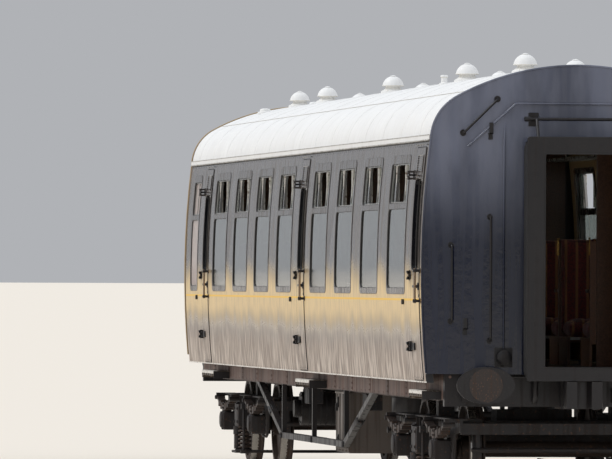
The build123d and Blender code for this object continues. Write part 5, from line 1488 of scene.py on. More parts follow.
@dataclass(frozen=True)
class BodySides(Assembly):
    """Mouldings, seals and small fittings along both body sides."""

    length: float = 9.63
    frame_half: float = 0.62
    frame_zs: Pair = (1.885, 3.09)
    pane_zs: Pair = (1.913, 2.634)
    toplight_zs: Pair = (2.683, 3.045)
    lavatory_x: float = -8.78
    lavatory_half: float = 0.335
    handle_along: float = 0.375
    handle_out: float = 0.052
    handle_zs: Pair = (1.8, 2.07)
    screw_pitch: float = 0.16

    def build(self) -> None:
        """Make every piece of the sides."""
        self._mouldings()
        self._window_seals()
        self._door_surrounds()
        self._fastenings()
        self._handles()

    def _mouldings(self) -> None:
        """The gutter's drip beads, the seal below it and the skirt's worn edge."""
        ends = (-self.length, self.length)
        self.pipes(
            "gutter_beads", [[side.at(x, 1.313, 3.237) for x in ends] for side in Side], 0.006, Look.GUTTER)
        self.pipes(
            "gutter_top_beads", [[side.at(x, 1.314, 3.283) for x in ends] for side in Side], 0.004,
            Look.GUTTER, sides=6)
        self.bars(
            "cantrail_seals", [[side.skin(x, 3.224, 0.001) for x in ends] for side in Side], 0.006, 0.01,
            Look.RUBBER)
        skirt = SECTION.half(1.075, 0.001)
        self.bars(
            "skirt_edges", [[side.at(x, skirt, 1.076) for x in ends] for side in Side], 0.005, 0.011,
            Look.EDGE)

    def _window_seals(self) -> None:
        """Rubber round every pane, bright runners in the toplights, their stiles and finger pulls."""
        seals, lips, runners, pulls, stiles = [], [], [], Shape(), Shape()
        low, high = self.toplight_zs
        middle = 2.86
        places = [(x, self.frame_half) for x in WINDOW_XS] + [(self.lavatory_x, self.lavatory_half)]
        for side in Side:
            for x, half in places:
                pane = rounded(half - 0.021, self.pane_zs[0] + 0.001, self.pane_zs[1] - 0.001, 0.058)
                light = rounded(half - 0.021, low + 0.001, high - 0.001, 0.043, 3)
                frame = rounded(half + 0.015, self.frame_zs[0] - 0.025, self.frame_zs[1] + 0.03, 0.07, 8)
                seals += [side.laid(pane, x, -0.005), side.laid(light, x, -0.008)]
                lips.append(side.laid(frame, x, 0.001))
                runners += [
                    [side.skin(x + sign * (half - 0.04), z, -0.012) for sign in (-1, 1)]
                    for z in (low + 0.01, high - 0.01)]
                for sign in (-1, 1) if half == self.frame_half else ():
                    near, far = (side.value * SECTION.half(middle, out) for out in (-0.044, -0.012))
                    stiles.block(
                        raised(x + sign * 0.31 - 0.007, near, 2.7),
                        raised(x + sign * 0.31 + 0.007, far, 3.028))
                    y = side.value * SECTION.half(middle, -0.031)
                    pulls.block(
                        raised(x + sign * 0.318 - 0.008, y - 0.008, 2.8),
                        raised(x + sign * 0.318 + 0.008, y + 0.008, 2.92), 0.003)
        self.pipes("window_rubbers", seals, 0.0035, Look.RUBBER, sides=6, closed=True)
        self.pipes("frame_sealant", lips, 0.0022, Look.RUBBER, sides=5, closed=True)
        self.bars("toplight_runners", runners, 0.008, 0.006, Look.ALUMINIUM)
        self.solid("toplight_pulls", pulls, Look.ALUMINIUM)
        self.solid("toplight_stiles", stiles, Look.EDGE)

    def _door_surrounds(self) -> None:
        """A rain strip over each door, a seal round its opening, a sill plate and hinge backing plates."""
        strips, seals, sills, plates = [], [], Shape(), Shape()
        for door in DOORS:
            strips.append(
                [door.at(along, 0.006, 3.196 + 0.01 * math.cos(along * 3.6))
                    for along in np.linspace(-0.37, 0.37, 9)])
            seals.append(door.line(rounded(0.3135, 1.0865, 3.1785, 0.029, 12), -0.03))
            sills.block(door.at(-0.3, -0.062, 1.212), door.at(0.29, -0.105, 1.216), 0.001)
            for z, out in HINGES:
                out = min(out, 0.029)
                plates.block(door.at(-0.384, 0.0, z - 0.046), door.at(-0.33, out, z + 0.046))
        self.bars("rain_strips", strips, 0.014, 0.006, Look.BODY)
        self.pipes("doorway_seals", seals, 0.003, Look.RUBBER, sides=5, closed=True)
        self.solid("door_sill_plates", sills, Look.ALUMINIUM)
        self.solid("hinge_backings", plates, Look.IRON)

    def _fastenings(self) -> None:
        """Small screws along the skirt and under the gutter, clear of the doors, and at the hinge feet."""
        spots = []
        for side in Side:
            for x in np.arange(-9.5, 9.51, self.screw_pitch):
                if all(abs(x - door.x) >= 0.36 for door in DOORS):
                    spots += facing([side.skin(x, z) for z in (1.095, 3.205)], side.out)
        self.studs("panel_screws", spots, 0.0035, 0.0016, Look.BODY, 8)
        feet = [
            Stud(door.at(-0.365, 0.01, z + dz), door.side.out) for door in DOORS for z, _ in HINGES
            for dz in (-0.028, 0.0, 0.028)]
        self.studs("hinge_screws", feet, 0.005, 0.003, Look.IRON, 8)

    def _handles(self) -> None:
        """Roses and dark sockets of the grab handles beside the doors."""
        spots = [(door, z) for door in DOORS for z in self.handle_zs]
        roses = [Stud(door.at(self.handle_along, 0.008, z), door.side.out) for door, z in spots]
        self.studs("grab_handle_roses", roses, 0.02, 0.004, Look.IRON, 16)
        sockets = Shape()
        for door, z in spots:
            reach = SECTION.waist[0] + self.handle_out - SECTION.half(z)
            sockets.turned(
                [(0.0, 0.013), (reach - 0.018, 0.0125), (reach - 0.014, 0.0165), (reach + 0.014, 0.0165),
                    (reach + 0.017, 0.011)], door.at(self.handle_along, 0.0, z), door.side.out, 20)
        self.solid("grab_handle_sockets", sockets, Look.IRON)


@dataclass(frozen=True)
class SideDoor(Assembly):
    """One hinged side door's window frame, furniture and inner fittings."""

    place: DoorPlace = DOORS[0]
    window_half: float = 0.21
    window_zs: Pair = (2.08, 2.89)
    lever_along: float = 0.25
    lever_z: float = 1.93

    def build(self) -> None:
        """Make every piece of this door."""
        self._window()
        self._lever()
        self._ventilator()
        self._edges()
        self._inside()

    def _window(self) -> None:
        """The droplight's frame in rubber and its catch, and a painted moulding round the opening."""
        low, high = self.window_zs
        inner = rounded(self.window_half - 0.004, low + 0.004, high - 0.004, 0.048)
        outer = rounded(self.window_half + 0.01, low - 0.01, high + 0.01, 0.058)
        self.pipes("droplight_frame", [self.place.line(inner, -0.037)], 0.009, Look.RUBBER, closed=True)
        self.pipes("window_moulding", [self.place.line(outer, 0.0)], 0.005, Look.BODY, sides=6, closed=True)
        catch = Shape().block(
            self.place.at(-0.04, -0.03, high - 0.016), self.place.at(0.04, -0.04, high - 0.006))
        self.solid("droplight_catch", catch, Look.ALUMINIUM)

    def _lever(self) -> None:
        """The dark lever over its round plate, with the keyhole's plate below."""
        out, along, z = self.place.side.out, self.lever_along, self.lever_z
        shape = Shape().block(
            self.place.at(along - 0.106, 0.03, z - 0.0128),
            self.place.at(along + 0.015, 0.0456, z + 0.0128), 0.004)
        shape.turned(
            [(0.0, 0.034), (0.0095, 0.034), (0.0125, 0.027), (0.016, 0.016), (0.03, 0.0125),
                (0.044, 0.0125)], self.place.at(along, 0.0, z), out)
        shape.turned(
            [(0.0, 0.013), (0.004, 0.013), (0.005, 0.009)], self.place.at(along + 0.004, 0.0, z - 0.085),
            out, 16)
        self.solid("lever", shape, Look.IRON)
        spots = [(along + 0.022 * math.cos(a), z + 0.022 * math.sin(a)) for a in (0.8, 2.35, 3.9, 5.5)]
        self.studs(
            "lever_screws", facing(self.place.line(spots, 0.0125), out), 0.003, 0.0015, Look.BRASS, 8)

    def _ventilator(self) -> None:
        """A raised panel of slats over the window."""
        frame = self.place.line(rounded(0.17, 2.945, 3.105, 0.018, 2), 0.002)
        self.pipes("ventilator_frame", [frame], 0.0045, Look.BODY, sides=6, closed=True)
        slats = [self.place.line([(-0.16, z), (0.16, z)], 0.003) for z in np.linspace(2.962, 3.088, 7)]
        self.bars("ventilator_slats", slats, 0.009, 0.005, Look.BODY)

    def _edges(self) -> None:
        """The drip bar across the door's foot, the hinges' leaves and the strip on the closing edge."""
        self.bars(
            "foot_drip", [self.place.line([(-0.3, 1.108), (0.298, 1.108)], 0.004)], 0.01, 0.008, Look.BODY)
        leaves, spots = Shape(), []
        for z, out in HINGES:
            leaves.block(self.place.at(-0.298, 0.0, z - 0.034), self.place.at(-0.24, out, z + 0.034))
            screws = [(along, z + dz) for along in (-0.262, -0.247) for dz in (-0.022, 0.022)]
            spots += facing(self.place.line(screws, out), self.place.side.out)
        leaves.block(self.place.at(-0.242, 0.0, 1.358), self.place.at(-0.08, 0.014, 1.422), 0.003)
        self.solid("hinge_leaf", leaves, Look.IRON)
        closing = self.place.line([(0.3065, z) for z in np.linspace(1.092, 3.172, 14)], 0.0035)
        self.bars("closing_strip", [closing], 0.011, 0.007, Look.RUBBER)
        self.studs("hinge_leaf_screws", spots, 0.004, 0.002, Look.IRON, 8)

    def _inside(self) -> None:
        """The inner panel's moulding, lock box and pull."""
        panel = self.place.line(rounded(0.235, 1.23, 1.86, 0.02, 3), -0.056)
        self.pipes("inner_moulding", [panel], 0.006, Look.TIMBER, sides=6, closed=True)
        box = Shape().block(self.place.at(0.17, -0.055, 1.86), self.place.at(0.27, -0.077, 2.0), 0.004)
        box.block(self.place.at(-0.215, -0.055, 2.03), self.place.at(0.215, -0.075, 2.058), 0.004)
        self.solid("lock_box", box, Look.TIMBER)
        spots = ((0.215, -0.076), (0.215, -0.094), (0.13, -0.094))
        grip = [self.place.at(along, out, 1.93) for along, out in spots]
        self.pipes("inner_lever", [grip], 0.007, Look.BRASS, bend=0.008)


@dataclass(frozen=True)
class RoofTrim(Assembly):
    """Seams, ventilator rings, filler caps and end beads of the roof."""

    vents: tuple[Pair, ...] = (
        (-7.4, -0.38), (-5.0, -0.38), (0.22, -0.38), (5.47, -0.38), (9.17, -0.38),
        (-8.2, 0.38), (-3.1, 0.38), (2.4, 0.38), (7.2, 0.38))
    fillers: tuple[Pair, ...] = ((-8.55, -0.62), (-8.55, 0.62), (-9.15, 0.0))
    cap: float = 0.106
    cap_z: float = 3.92
    top_z: float = 4.018
    seam_pitch: float = 1.27
    seam_half: float = 0.016
    seam_rise: float = 0.0025

    def build(self) -> None:
        """Make every piece of the roof."""
        self._seams()
        self._ventilators()
        self._fillers()
        self._end_beads()

    def _seams(self) -> None:
        """Flat welded straps over the roof from gutter to gutter."""
        shape = Shape()
        over = SECTION.roof_arc(-0.002)[1:-1] + SECTION.roof_arc(self.seam_rise)[-2:0:-1]
        count = int(2 * 9.5 / self.seam_pitch)
        for index in range(count + 1):
            x = -count * self.seam_pitch / 2 + index * self.seam_pitch
            shape.prism([raised(x - self.seam_half, y, z) for y, z in over], (2 * self.seam_half, 0, 0))
        self.solid("roof_seams", shape, Look.ROOF, 60.0)
        runs = [
            [raised(x, side.value * 0.98, SECTION.roof_z(0.98) + 0.001) for x in (-9.5, 9.5)]
            for side in Side]
        self.bars("roof_long_seams", runs, 0.022, 0.004, Look.ROOF)

    def _ventilators(self) -> None:
        """A flared foot, a rolled rim and a knob on every ventilator."""
        shape, rims, spots = Shape(), [], []
        for x, y in self.vents:
            foot_z = SECTION.roof_z(abs(y)) - 0.03
            shape.turned(
                [(0.0, 0.125), (0.028, 0.122), (0.04, 0.1), (0.056, 0.08), (0.07, 0.0735)],
                raised(x, y, foot_z), UP, 32)
            shape.turned(
                [(0.0, 0.03), (0.003, 0.03), (0.007, 0.022), (0.01, 0.01)],
                raised(x, y, self.top_z - 0.002), UP, 20)
            rims.append(around((x, y, self.cap_z + 0.003), self.cap, full_turn(28)))
            spots += [
                Stud(around((x, y, foot_z + 0.036), 0.108, [a])[0],
                    (0.3 * math.cos(a), 0.3 * math.sin(a), 1.0)) for a in np.arange(0.4, 6.6, 1.047)]
        self.solid("ventilator_feet", shape, Look.ROOF, 40.0)
        self.pipes("ventilator_rims", rims, 0.005, Look.ROOF, sides=6, closed=True)
        self.studs("ventilator_screws", spots, 0.005, 0.003, Look.ROOF, 8)

    def _fillers(self) -> None:
        """Water filler caps over the lavatories and one capped pipe."""
        shape = Shape()
        for x, y in self.fillers:
            shape.turned(
                [(0.0, 0.085), (0.022, 0.082), (0.028, 0.06), (0.05, 0.056), (0.056, 0.048), (0.06, 0.02)],
                raised(x, y, SECTION.roof_z(y) - 0.015), UP, 28)
        shape.turned(
            [(0.0, 0.05), (0.026, 0.048), (0.034, 0.03), (0.08, 0.029), (0.084, 0.036), (0.098, 0.036),
                (0.104, 0.026)], raised(4.77, -0.5, SECTION.roof_z(-0.5) - 0.02), UP, 20)
        self.solid("roof_caps", shape, Look.ROOF, 40.0)

    def _end_beads(self) -> None:
        """The bead where the roof and sides meet each bowed end."""
        sides = [(SECTION.half(z, 0.001), z) for z in np.linspace(1.155, 3.233, 9)]
        outline = [(-y, z) for y, z in sides] + SECTION.roof_arc(0.001)[1:-1] + sides[::-1]
        paths = [[raised(end * (SECTION.end_x(y) - 0.004), y, z) for y, z in outline] for end in (-1, 1)]
        self.pipes("end_beads", paths, 0.011, Look.END)


@dataclass(frozen=True)
class CoachEnd(Assembly):
    """One end's gangway pleats, rails, steps, lamp irons, buffers and coupler fittings."""

    end: int = 1
    bellows: tuple[float, float, float] = (0.465, 1.124, 3.216)
    plate: tuple[float, float, float] = (0.505, 1.1, 3.255)
    doorway: tuple[float, float, float] = (0.35, 1.212, 3.11)
    plate_x: float = 10.2
    pleats: int = 10
    pleat_pitch: float = 0.0333
    pleat_depth: float = 0.052
    rails: tuple[tuple[float, float, float], ...] = ((0.78, 1.45, 2.55), (1.12, 1.62, 2.3))
    step_zs: tuple[float, ...] = (1.4, 1.8, 2.2, 2.6)
    lamp_irons: tuple[Pair, ...] = ((-1.0, 1.56), (1.16, 1.56), (-0.78, 3.3))
    disc: Pair = (0.96, 3.18)
    socket_y: float = 0.66
    buffer_y: float = 0.864
    buffer_z: float = 1.054
    stand_pipes: tuple[Pair, ...] = ((-0.36, 0.1), (0.36, 0.02))

    @property
    def out(self) -> Point:
        """The way out of the coach here."""
        return (float(self.end), 0.0, 0.0)

    def at(self, x: float, y: float, z: float) -> Point:
        """A point of the front end, turned half round for the rear one."""
        return raised(self.end * x, self.end * y, z)

    def line(self, *points: Point) -> list[Point]:
        """Points of the front end, turned half round for the rear one."""
        return [self.at(*point) for point in points]

    def build(self) -> None:
        """Make every piece of this end."""
        self._gangway()
        self._rails()
        self._steps()
        self._lamp_irons()
        self._buffers()
        self._coupler()
        self._headstock()

    @staticmethod
    def _frame(x: float, sizes: tuple[float, float, float]) -> list[Point]:
        """The corners of an upright rectangle: half its width, its foot and its head."""
        half, low, high = sizes
        return [(x, -half, low), (x, half, low), (x, half, high), (x, -half, high)]

    def _gangway(self) -> None:
        """Pleats round the bellows, beads and rivets on the faceplate, and its hangers."""
        start = 9.852 if self.end > 0 else -10.152
        loop = [raised(*point) for point in self._frame(start, self.bellows)[::-1]]
        made = self.shop.pleat_tree.run(
            self.lines("pleats", [loop], True), self.shop.materials[Look.BELLOWS],
            Pitch=self.pleat_pitch, Count=self.pleats, Depth=self.pleat_depth)
        self.piece("bellows_pleats", made, Look.BELLOWS, 20.0)
        rims = [
            self.line(*self._frame(self.plate_x - 0.004, self.plate)),
            self.line(*self._frame(self.plate_x - 0.002, self.doorway))]
        self.pipes("faceplate_rim", rims, 0.007, Look.IRON, bend=0.02, closed=True)
        spots = [self.at(self.plate_x, y, z) for y in (-0.428, 0.428) for z in np.arange(1.22, 3.2, 0.19)]
        spots += [self.at(self.plate_x, y, z) for y in np.arange(-0.3, 0.31, 0.15) for z in (1.15, 3.185)]
        self.studs("faceplate_rivets", facing(spots, self.out), 0.01, 0.005, Look.IRON, 12)
        wall = SECTION.end_x(0.4)
        hangers = [
            self.line((wall - 0.02, y, 3.42), (10.02, y, 3.42), (10.12, y, 3.25)) for y in (-0.4, 0.4)]
        hangers.append(self.line((9.985, -0.46, 3.42), (9.985, 0.46, 3.42)))
        self.pipes("gangway_hangers", hangers, 0.014, Look.IRON, bend=0.05)
        shape = Shape()
        for sign in (-1, 1):
            y = sign * 0.4
            shape.block(
                self.at(wall - 0.03, y - 0.045, 3.36), self.at(wall + 0.012, y + 0.045, 3.48), 0.004)
            shape.turned(
                [(0.0, 0.022), (0.05, 0.022), (0.055, 0.012)], self.at(9.985, sign * 0.455, 3.42),
                (0, self.end * sign, 0), 16)
        self.solid("hanger_brackets", shape, Look.IRON)

    def _rails(self) -> None:
        """Upright handrails each side of the gangway and one over each shoulder."""
        paths = []
        for far, low, high in self.rails:
            x = SECTION.end_x(far)
            paths += [
                self.line((x - 0.01, y, low), (x + 0.055, y, low), (x + 0.055, y, high),
                    (x - 0.01, y, high)) for y in (-far, far)]
        x, top_x = SECTION.end_x(1.0), SECTION.end_x(0.7)
        paths += [
            self.line((x - 0.01, sign * 1.02, 3.3), (x + 0.045, sign * 1.02, 3.3),
                (top_x + 0.045, sign * 0.72, 3.6), (top_x - 0.01, sign * 0.72, 3.6)) for sign in (-1, 1)]
        self.pipes("handrails", paths, 0.011, Look.IRON, bend=0.03)
        feet = [path[index] for path in paths for index in (0, 3)]
        spots = facing([(x + self.end * 0.01, y, z) for x, y, z in feet], self.out)
        self.studs("handrail_feet", spots, 0.022, 0.006, Look.IRON, 16)

    def _steps(self) -> None:
        """Four treads up the end on one side, each on two brackets, with anti-slip bars."""
        shape, bars, x = Shape(), [], SECTION.end_x(0.95)
        for z in self.step_zs:
            shape.block(self.at(x - 0.02, 0.86, z), self.at(x + 0.105, 1.06, z + 0.01))
            for y in (0.87, 1.04):
                shape.prism(
                    self.line((x - 0.02, y, z - 0.075), (x - 0.02, y, z + 0.002), (x + 0.1, y, z + 0.002)),
                    (0.0, self.end * 0.008, 0.0))
            bars += [
                self.line((x + reach, 0.868, z + 0.012), (x + reach, 1.052, z + 0.012))
                for reach in (0.025, 0.05, 0.075)]
        self.solid("end_steps", shape, Look.IRON)
        self.bars("step_grips", bars, 0.006, 0.004, Look.EDGE)

    def _lamp_irons(self) -> None:
        """Forged lamp irons, the alarm disc and its rod, and two jumper sockets with conduits."""
        shape, round_parts, conduits = Shape(), Shape(), []
        for y, z in self.lamp_irons:
            x, low, high = SECTION.end_x(y), y - 0.018, y + 0.018
            shape.block(self.at(x - 0.01, low, z - 0.06), self.at(x + 0.012, high, z))
            shape.block(self.at(x, low, z - 0.012), self.at(x + 0.06, high, z))
            shape.block(self.at(x + 0.05, low, z - 0.012), self.at(x + 0.06, high, z + 0.09))
        y, z = self.disc
        wall = SECTION.end_x(y)
        round_parts.turned(
            [(0.0, 0.075), (0.018, 0.075), (0.026, 0.066), (0.04, 0.02)], self.at(wall - 0.004, y, z),
            self.out, 28)
        rod = [
            (wall + 0.03, y, z), (SECTION.end_x(0.5) + 0.03, 0.56, 3.56),
            (SECTION.end_x(0.5) + 0.03, -0.56, 3.56), (SECTION.end_x(1.0) + 0.02, -0.98, z)]
        for y in (-self.socket_y, self.socket_y):
            x = SECTION.end_x(y)
            round_parts.turned(
                [(0.0, 0.058), (0.05, 0.058), (0.056, 0.066), (0.09, 0.066), (0.098, 0.05)],
                self.at(x - 0.004, y, 1.3), self.out)
            shape.block(self.at(x - 0.01, y - 0.08, 1.212), self.at(x + 0.014, y + 0.08, 1.388), 0.004)
            conduits.append(
                self.line((x + 0.012, y, 1.38), (x + 0.012, y, 3.25), (x - 0.02, y * 0.97, 3.48)))
        self.solid("lamp_irons", shape, Look.IRON)
        self.solid("sockets", round_parts, Look.IRON, 40.0)
        self.pipes("end_conduits", [*conduits, self.line(*rod)], 0.01, Look.END, bend=0.04)

    def _buffers(self) -> None:
        """Bolts on the buffer bases, collars on the barrels and a worn ring on each head."""
        spots, collars, faces = [], Shape(), Shape()
        for y in (-self.buffer_y, self.buffer_y):
            spots += [
                self.at(9.689, y + dy, self.buffer_z + dz) for dy in (-0.118, 0.118)
                for dz in (-0.112, 0.062)]
            for x, profile in (
                    (9.688, [(0.0, 0.125), (0.02, 0.122), (0.045, 0.104), (0.05, 0.096)]),
                    (9.92, [(0.0, 0.096), (0.004, 0.104), (0.03, 0.104), (0.036, 0.08), (0.04, 0.068)]),
                    (10.068, [(0.0, 0.07), (0.03, 0.095), (0.044, 0.12)])):
                collars.turned(profile, self.at(x, y, self.buffer_z), self.out, 32)
            faces.turned(
                [(0.0, 0.15), (0.0015, 0.149), (0.002, 0.06)], self.at(10.14, y, self.buffer_z), self.out,
                40)
        self.studs("buffer_bolts", facing(spots, self.out), 0.016, 0.014, Look.IRON)
        self.solid("buffer_collars", collars, Look.IRON, 35.0)
        self.solid("buffer_wear_faces", faces, Look.SPRING, 35.0)

    def _coupler(self) -> None:
        """The knuckle's pin, the shank's wear plates and the lever rod across the headstock."""
        shape = Shape().turned(
            [(0.0, 0.03), (0.012, 0.034), (0.262, 0.034), (0.276, 0.028)], self.at(10.145, 0.12, 0.84), UP)
        shape.turned([(0.0, 0.045), (0.01, 0.045), (0.016, 0.035)], self.at(9.975, 0.0, 1.09), UP, 20)
        for low, high in (((9.665, -0.12, 0.84), (9.705, 0.12, 0.872)),
                          ((9.665, -0.125, 0.84), (9.69, -0.088, 1.09)),
                          ((9.665, 0.088, 0.84), (9.69, 0.125, 1.09))):
            shape.block(self.at(*low), self.at(*high), 0.004)
        self.solid("coupler_fittings", shape, Look.IRON)
        lever = self.line(
            (9.99, 0.0, 1.112), (9.9, 0.0, 1.126), (9.74, -0.14, 1.126), (9.7, -0.3, 1.126),
            (9.7, -0.66, 1.126))
        self.pipes("uncoupling_rod", [lever], 0.011, Look.IRON, bend=0.05)

    def _headstock(self) -> None:
        """Rivets along the headstock and two stand-pipes' stubs."""
        spots = [
            self.at(9.665, y, z) for z in (0.885, 1.125) for y in np.arange(-1.12, 1.13, 0.14)
            if not (abs(abs(y) - self.buffer_y) < 0.17 and z > 0.9)]
        self.studs("headstock_rivets", facing(spots, self.out), 0.01, 0.006, Look.DIRT, 10)
        caps, paths = Shape(), []
        for y, rise in self.stand_pipes:
            paths.append(self.line((9.63, y, 0.905), (9.725, y, 0.905), (9.725, y, 0.985 + rise)))
            caps.turned(
                [(0.0, 0.034), (0.02, 0.034), (0.026, 0.028), (0.03, 0.014)],
                self.at(9.725, y, 0.975 + rise), UP, 18)
        self.pipes("stand_pipes", paths, 0.026, Look.IRON, bend=0.06, sides=12)
        self.solid("stand_pipe_caps", caps, Look.IRON, 40.0)


@dataclass(frozen=True)
class Underframe(Assembly):
    """Rivets, pipes, latches and bands on everything that hangs under the floor."""

    solebar_y: float = 1.17
    pipe_runs: tuple[tuple[float, ...], ...] = ((-0.36, -0.95, 0.96, 5.2), (0.36, 0.98, 0.985, 5.0))
    battery_xs: Pair = (1.4, 2.44)
    battery_y: float = 1.094
    cylinders: tuple[Pair, ...] = ((4.15, -0.64), (-4.15, 0.64))
    dynamo: Pair = (-4.15, 0.64)
    boxes: tuple[tuple[float, Side], ...] = (
        (-1.2, Side.LEFT), (3.35, Side.LEFT), (-3.3, Side.RIGHT), (0.95, Side.RIGHT))

    def build(self) -> None:
        """Make every piece under the floor."""
        self._solebars()
        self._pipes()
        self._trusses()
        self._batteries()
        self._cylinders()
        self._dynamo()
        self._rigging()

    def _solebars(self) -> None:
        """Rivet rows and stiffening plates along the solebars."""
        spots, plates, y = [], Shape(), self.solebar_y
        for side in Side:
            places = [side.at(x, y, z) for x in np.arange(-9.4, 9.45, 0.325) for z in (0.934, 1.06)]
            for x in np.arange(-8.45, 8.5, 1.3):
                near = raised(x - 0.045, side.value * y - 0.0005, 0.925)
                plates.block(near, side.at(x + 0.045, y + 0.003, 1.062), 0.001)
                places += [
                    side.at(x + dx, y + 0.003, z) for dx in (-0.028, 0.028) for z in (0.945, 0.995, 1.045)]
            spots += facing(places, side.out)
        self.studs("solebar_rivets", spots, 0.008, 0.003, Look.DIRT, 8)
        self.solid("solebar_plates", plates, Look.DIRT)

    def _pipes(self) -> None:
        """The train pipe, the steam pipe, two conduits and the pipes' hangers under the floor."""
        runs, clips = [], Shape()
        for near, far, z, turn in self.pipe_runs:
            half = [(turn, far), (turn + 0.4, near), (9.58, near)]
            runs.append([raised(-x, y, z) for x, y in half[::-1]] + [raised(x, y, z) for x, y in half])
        self.pipes("train_pipes", runs, 0.03, Look.DIRT, bend=0.25, sides=14)
        conduits = [[side.at(x, 1.06, 0.905) for x in (-8.6, 8.6)] for side in Side]
        self.pipes("conduits", conduits, 0.01, Look.DIRT)
        for x in np.arange(-4.8, 4.9, 1.2):
            for _, y, z, _ in self.pipe_runs:
                clips.block(raised(x - 0.018, y - 0.04, z - 0.036), raised(x + 0.018, y + 0.04, z - 0.03))
                for dy in (-0.038, 0.033):
                    low = raised(x - 0.018, y + dy, z - 0.036)
                    clips.block(low, raised(x + 0.018, y + dy + 0.005, 1.15), 0.001)
        self.solid("pipe_hangers", clips, Look.DIRT)

    def _trusses(self) -> None:
        """Nuts at the truss joints and adjusting sleeves on the sloping bars."""
        spots, sleeves = [], Shape()
        for side in Side:
            places = [
                side.at(x + dx, 1.16, z) for x in (-2.5, 0.0, 2.5) for dx in (-0.035, 0.035)
                for z in (0.376, 0.404)]
            spots += facing(places, side.out)
            for end in ENDS:
                start, stop = (Vector(side.at(end * x, 1.13, z)) for x, z in ((2.5, 0.39), (4.62, 0.9)))
                sleeves.turned(
                    [(0.0, 0.04), (0.012, 0.048), (0.188, 0.048), (0.2, 0.04)],
                    tuple(start + 0.42 * (stop - start)), tuple(stop - start), 6)
        self.studs("truss_nuts", spots, 0.014, 0.012, Look.DIRT)
        self.solid("truss_sleeves", sleeves, Look.DIRT)

    def _batteries(self) -> None:
        """Lids, latches and hinge straps on the battery boxes."""
        lids, latches, spots = Shape(), Shape(), []
        (x0, x1), y = self.battery_xs, self.battery_y
        for side in Side:
            lids.block(side.at(x0 - 0.006, 1.06, 0.872), side.at(x1 + 0.006, y + 0.006, 0.892), 0.003)
            lids.block(side.at(x0 + 0.02, 1.075, 0.33), side.at(x1 - 0.02, y + 0.002, 0.352), 0.003)
            for x in (x0 + 0.17, x1 - 0.17):
                for half, back, front, low, high, soft in (
                        (0.022, -0.01, 0.01, 0.735, 0.84, 0.004), (0.01, 0.0, 0.022, 0.7, 0.78, 0.003),
                        (0.03, -0.01, 0.004, 0.352, 0.47, 0.003)):
                    latches.block(
                        side.at(x - half, y + back, low), side.at(x + half, y + front, high), soft)
                spots += facing([side.at(x, y + 0.004, z) for z in (0.385, 0.44)], side.out)
        self.solid("battery_lids", lids, Look.BATTERY)
        self.solid("battery_latches", latches, Look.IRON)
        self.studs("battery_bolts", spots, 0.01, 0.007, Look.IRON)

    def _cylinders(self) -> None:
        """Bands, top bolts and release valves on the two vacuum cylinders."""
        bands, valves, spots = [], Shape(), []
        for x, y in self.cylinders:
            bands += [around((x, y, z), 0.2665, full_turn(36)) for z in (0.44, 0.66, 0.88)]
            spots += facing(around((x, y, 0.9), 0.235, np.arange(0.2, 6.4, 0.5236)), UP)
            out = math.copysign(1.0, y)
            valves.turned(
                [(0.0, 0.02), (0.03, 0.02), (0.032, 0.032), (0.046, 0.032), (0.05, 0.014)],
                raised(x, y + out * 0.262, 0.56), (0, out, 0), 18)
            valves.turned([(0.0, 0.075), (0.012, 0.075), (0.018, 0.055)], raised(x, y, 0.402), UP, 28)
        self.bars("cylinder_bands", bands, 0.008, 0.03, Look.DIRT, closed=True)
        self.solid("cylinder_valves", valves, Look.IRON, 40.0)
        self.studs("cylinder_bolts", spots, 0.011, 0.008, Look.DIRT)

    def _dynamo(self) -> None:
        """Cooling rings, end bolts and grooves on the dynamo."""
        x, z = self.dynamo
        rings = [
            around((x, y, z), 0.176, full_turn(32), upright=True) for y in np.linspace(-0.68, -0.26, 8)]
        rings += [around((x, y, z), 0.09, full_turn(28), upright=True) for y in (-0.785, -0.805)]
        self.pipes("dynamo_rings", rings, 0.006, Look.DIRT, sides=6, closed=True)
        spots = around((x, -0.76, z), 0.15, np.arange(0.3, 6.5, 0.7854), upright=True)
        self.studs("dynamo_bolts", facing(spots, Side.LEFT.out), 0.01, 0.008, Look.IRON)

    def _rigging(self) -> None:
        """Collars and pins on the brake shaft, and junction boxes behind the solebars."""
        shape, boxes = Shape(), Shape()
        for y in (-0.76, 0.76, -0.115, 0.115):
            shape.turned([(0.0, 0.05), (0.03, 0.05)], raised(0, y - 0.015, 0.64), Side.RIGHT.out)
        for z in (0.485, 0.795):
            shape.turned(
                [(0.0, 0.02), (0.004, 0.024), (0.066, 0.024), (0.07, 0.018)], raised(0, -0.11, z),
                Side.RIGHT.out, 16)
        self.solid("shaft_collars", shape, Look.DIRT, 40.0)
        for x, side in self.boxes:
            boxes.block(side.at(x - 0.17, 0.91, 0.73), side.at(x + 0.17, 1.06, 0.915), 0.008)
            boxes.block(side.at(x - 0.18, 0.9, 0.88), side.at(x + 0.18, 1.07, 0.895), 0.003)
            for dx in (-0.12, 0.12):
                boxes.block(side.at(x + dx - 0.02, 0.965, 0.9), side.at(x + dx + 0.02, 1.005, 1.15), 0.003)
        self.solid("junction_boxes", boxes, Look.DIRT)


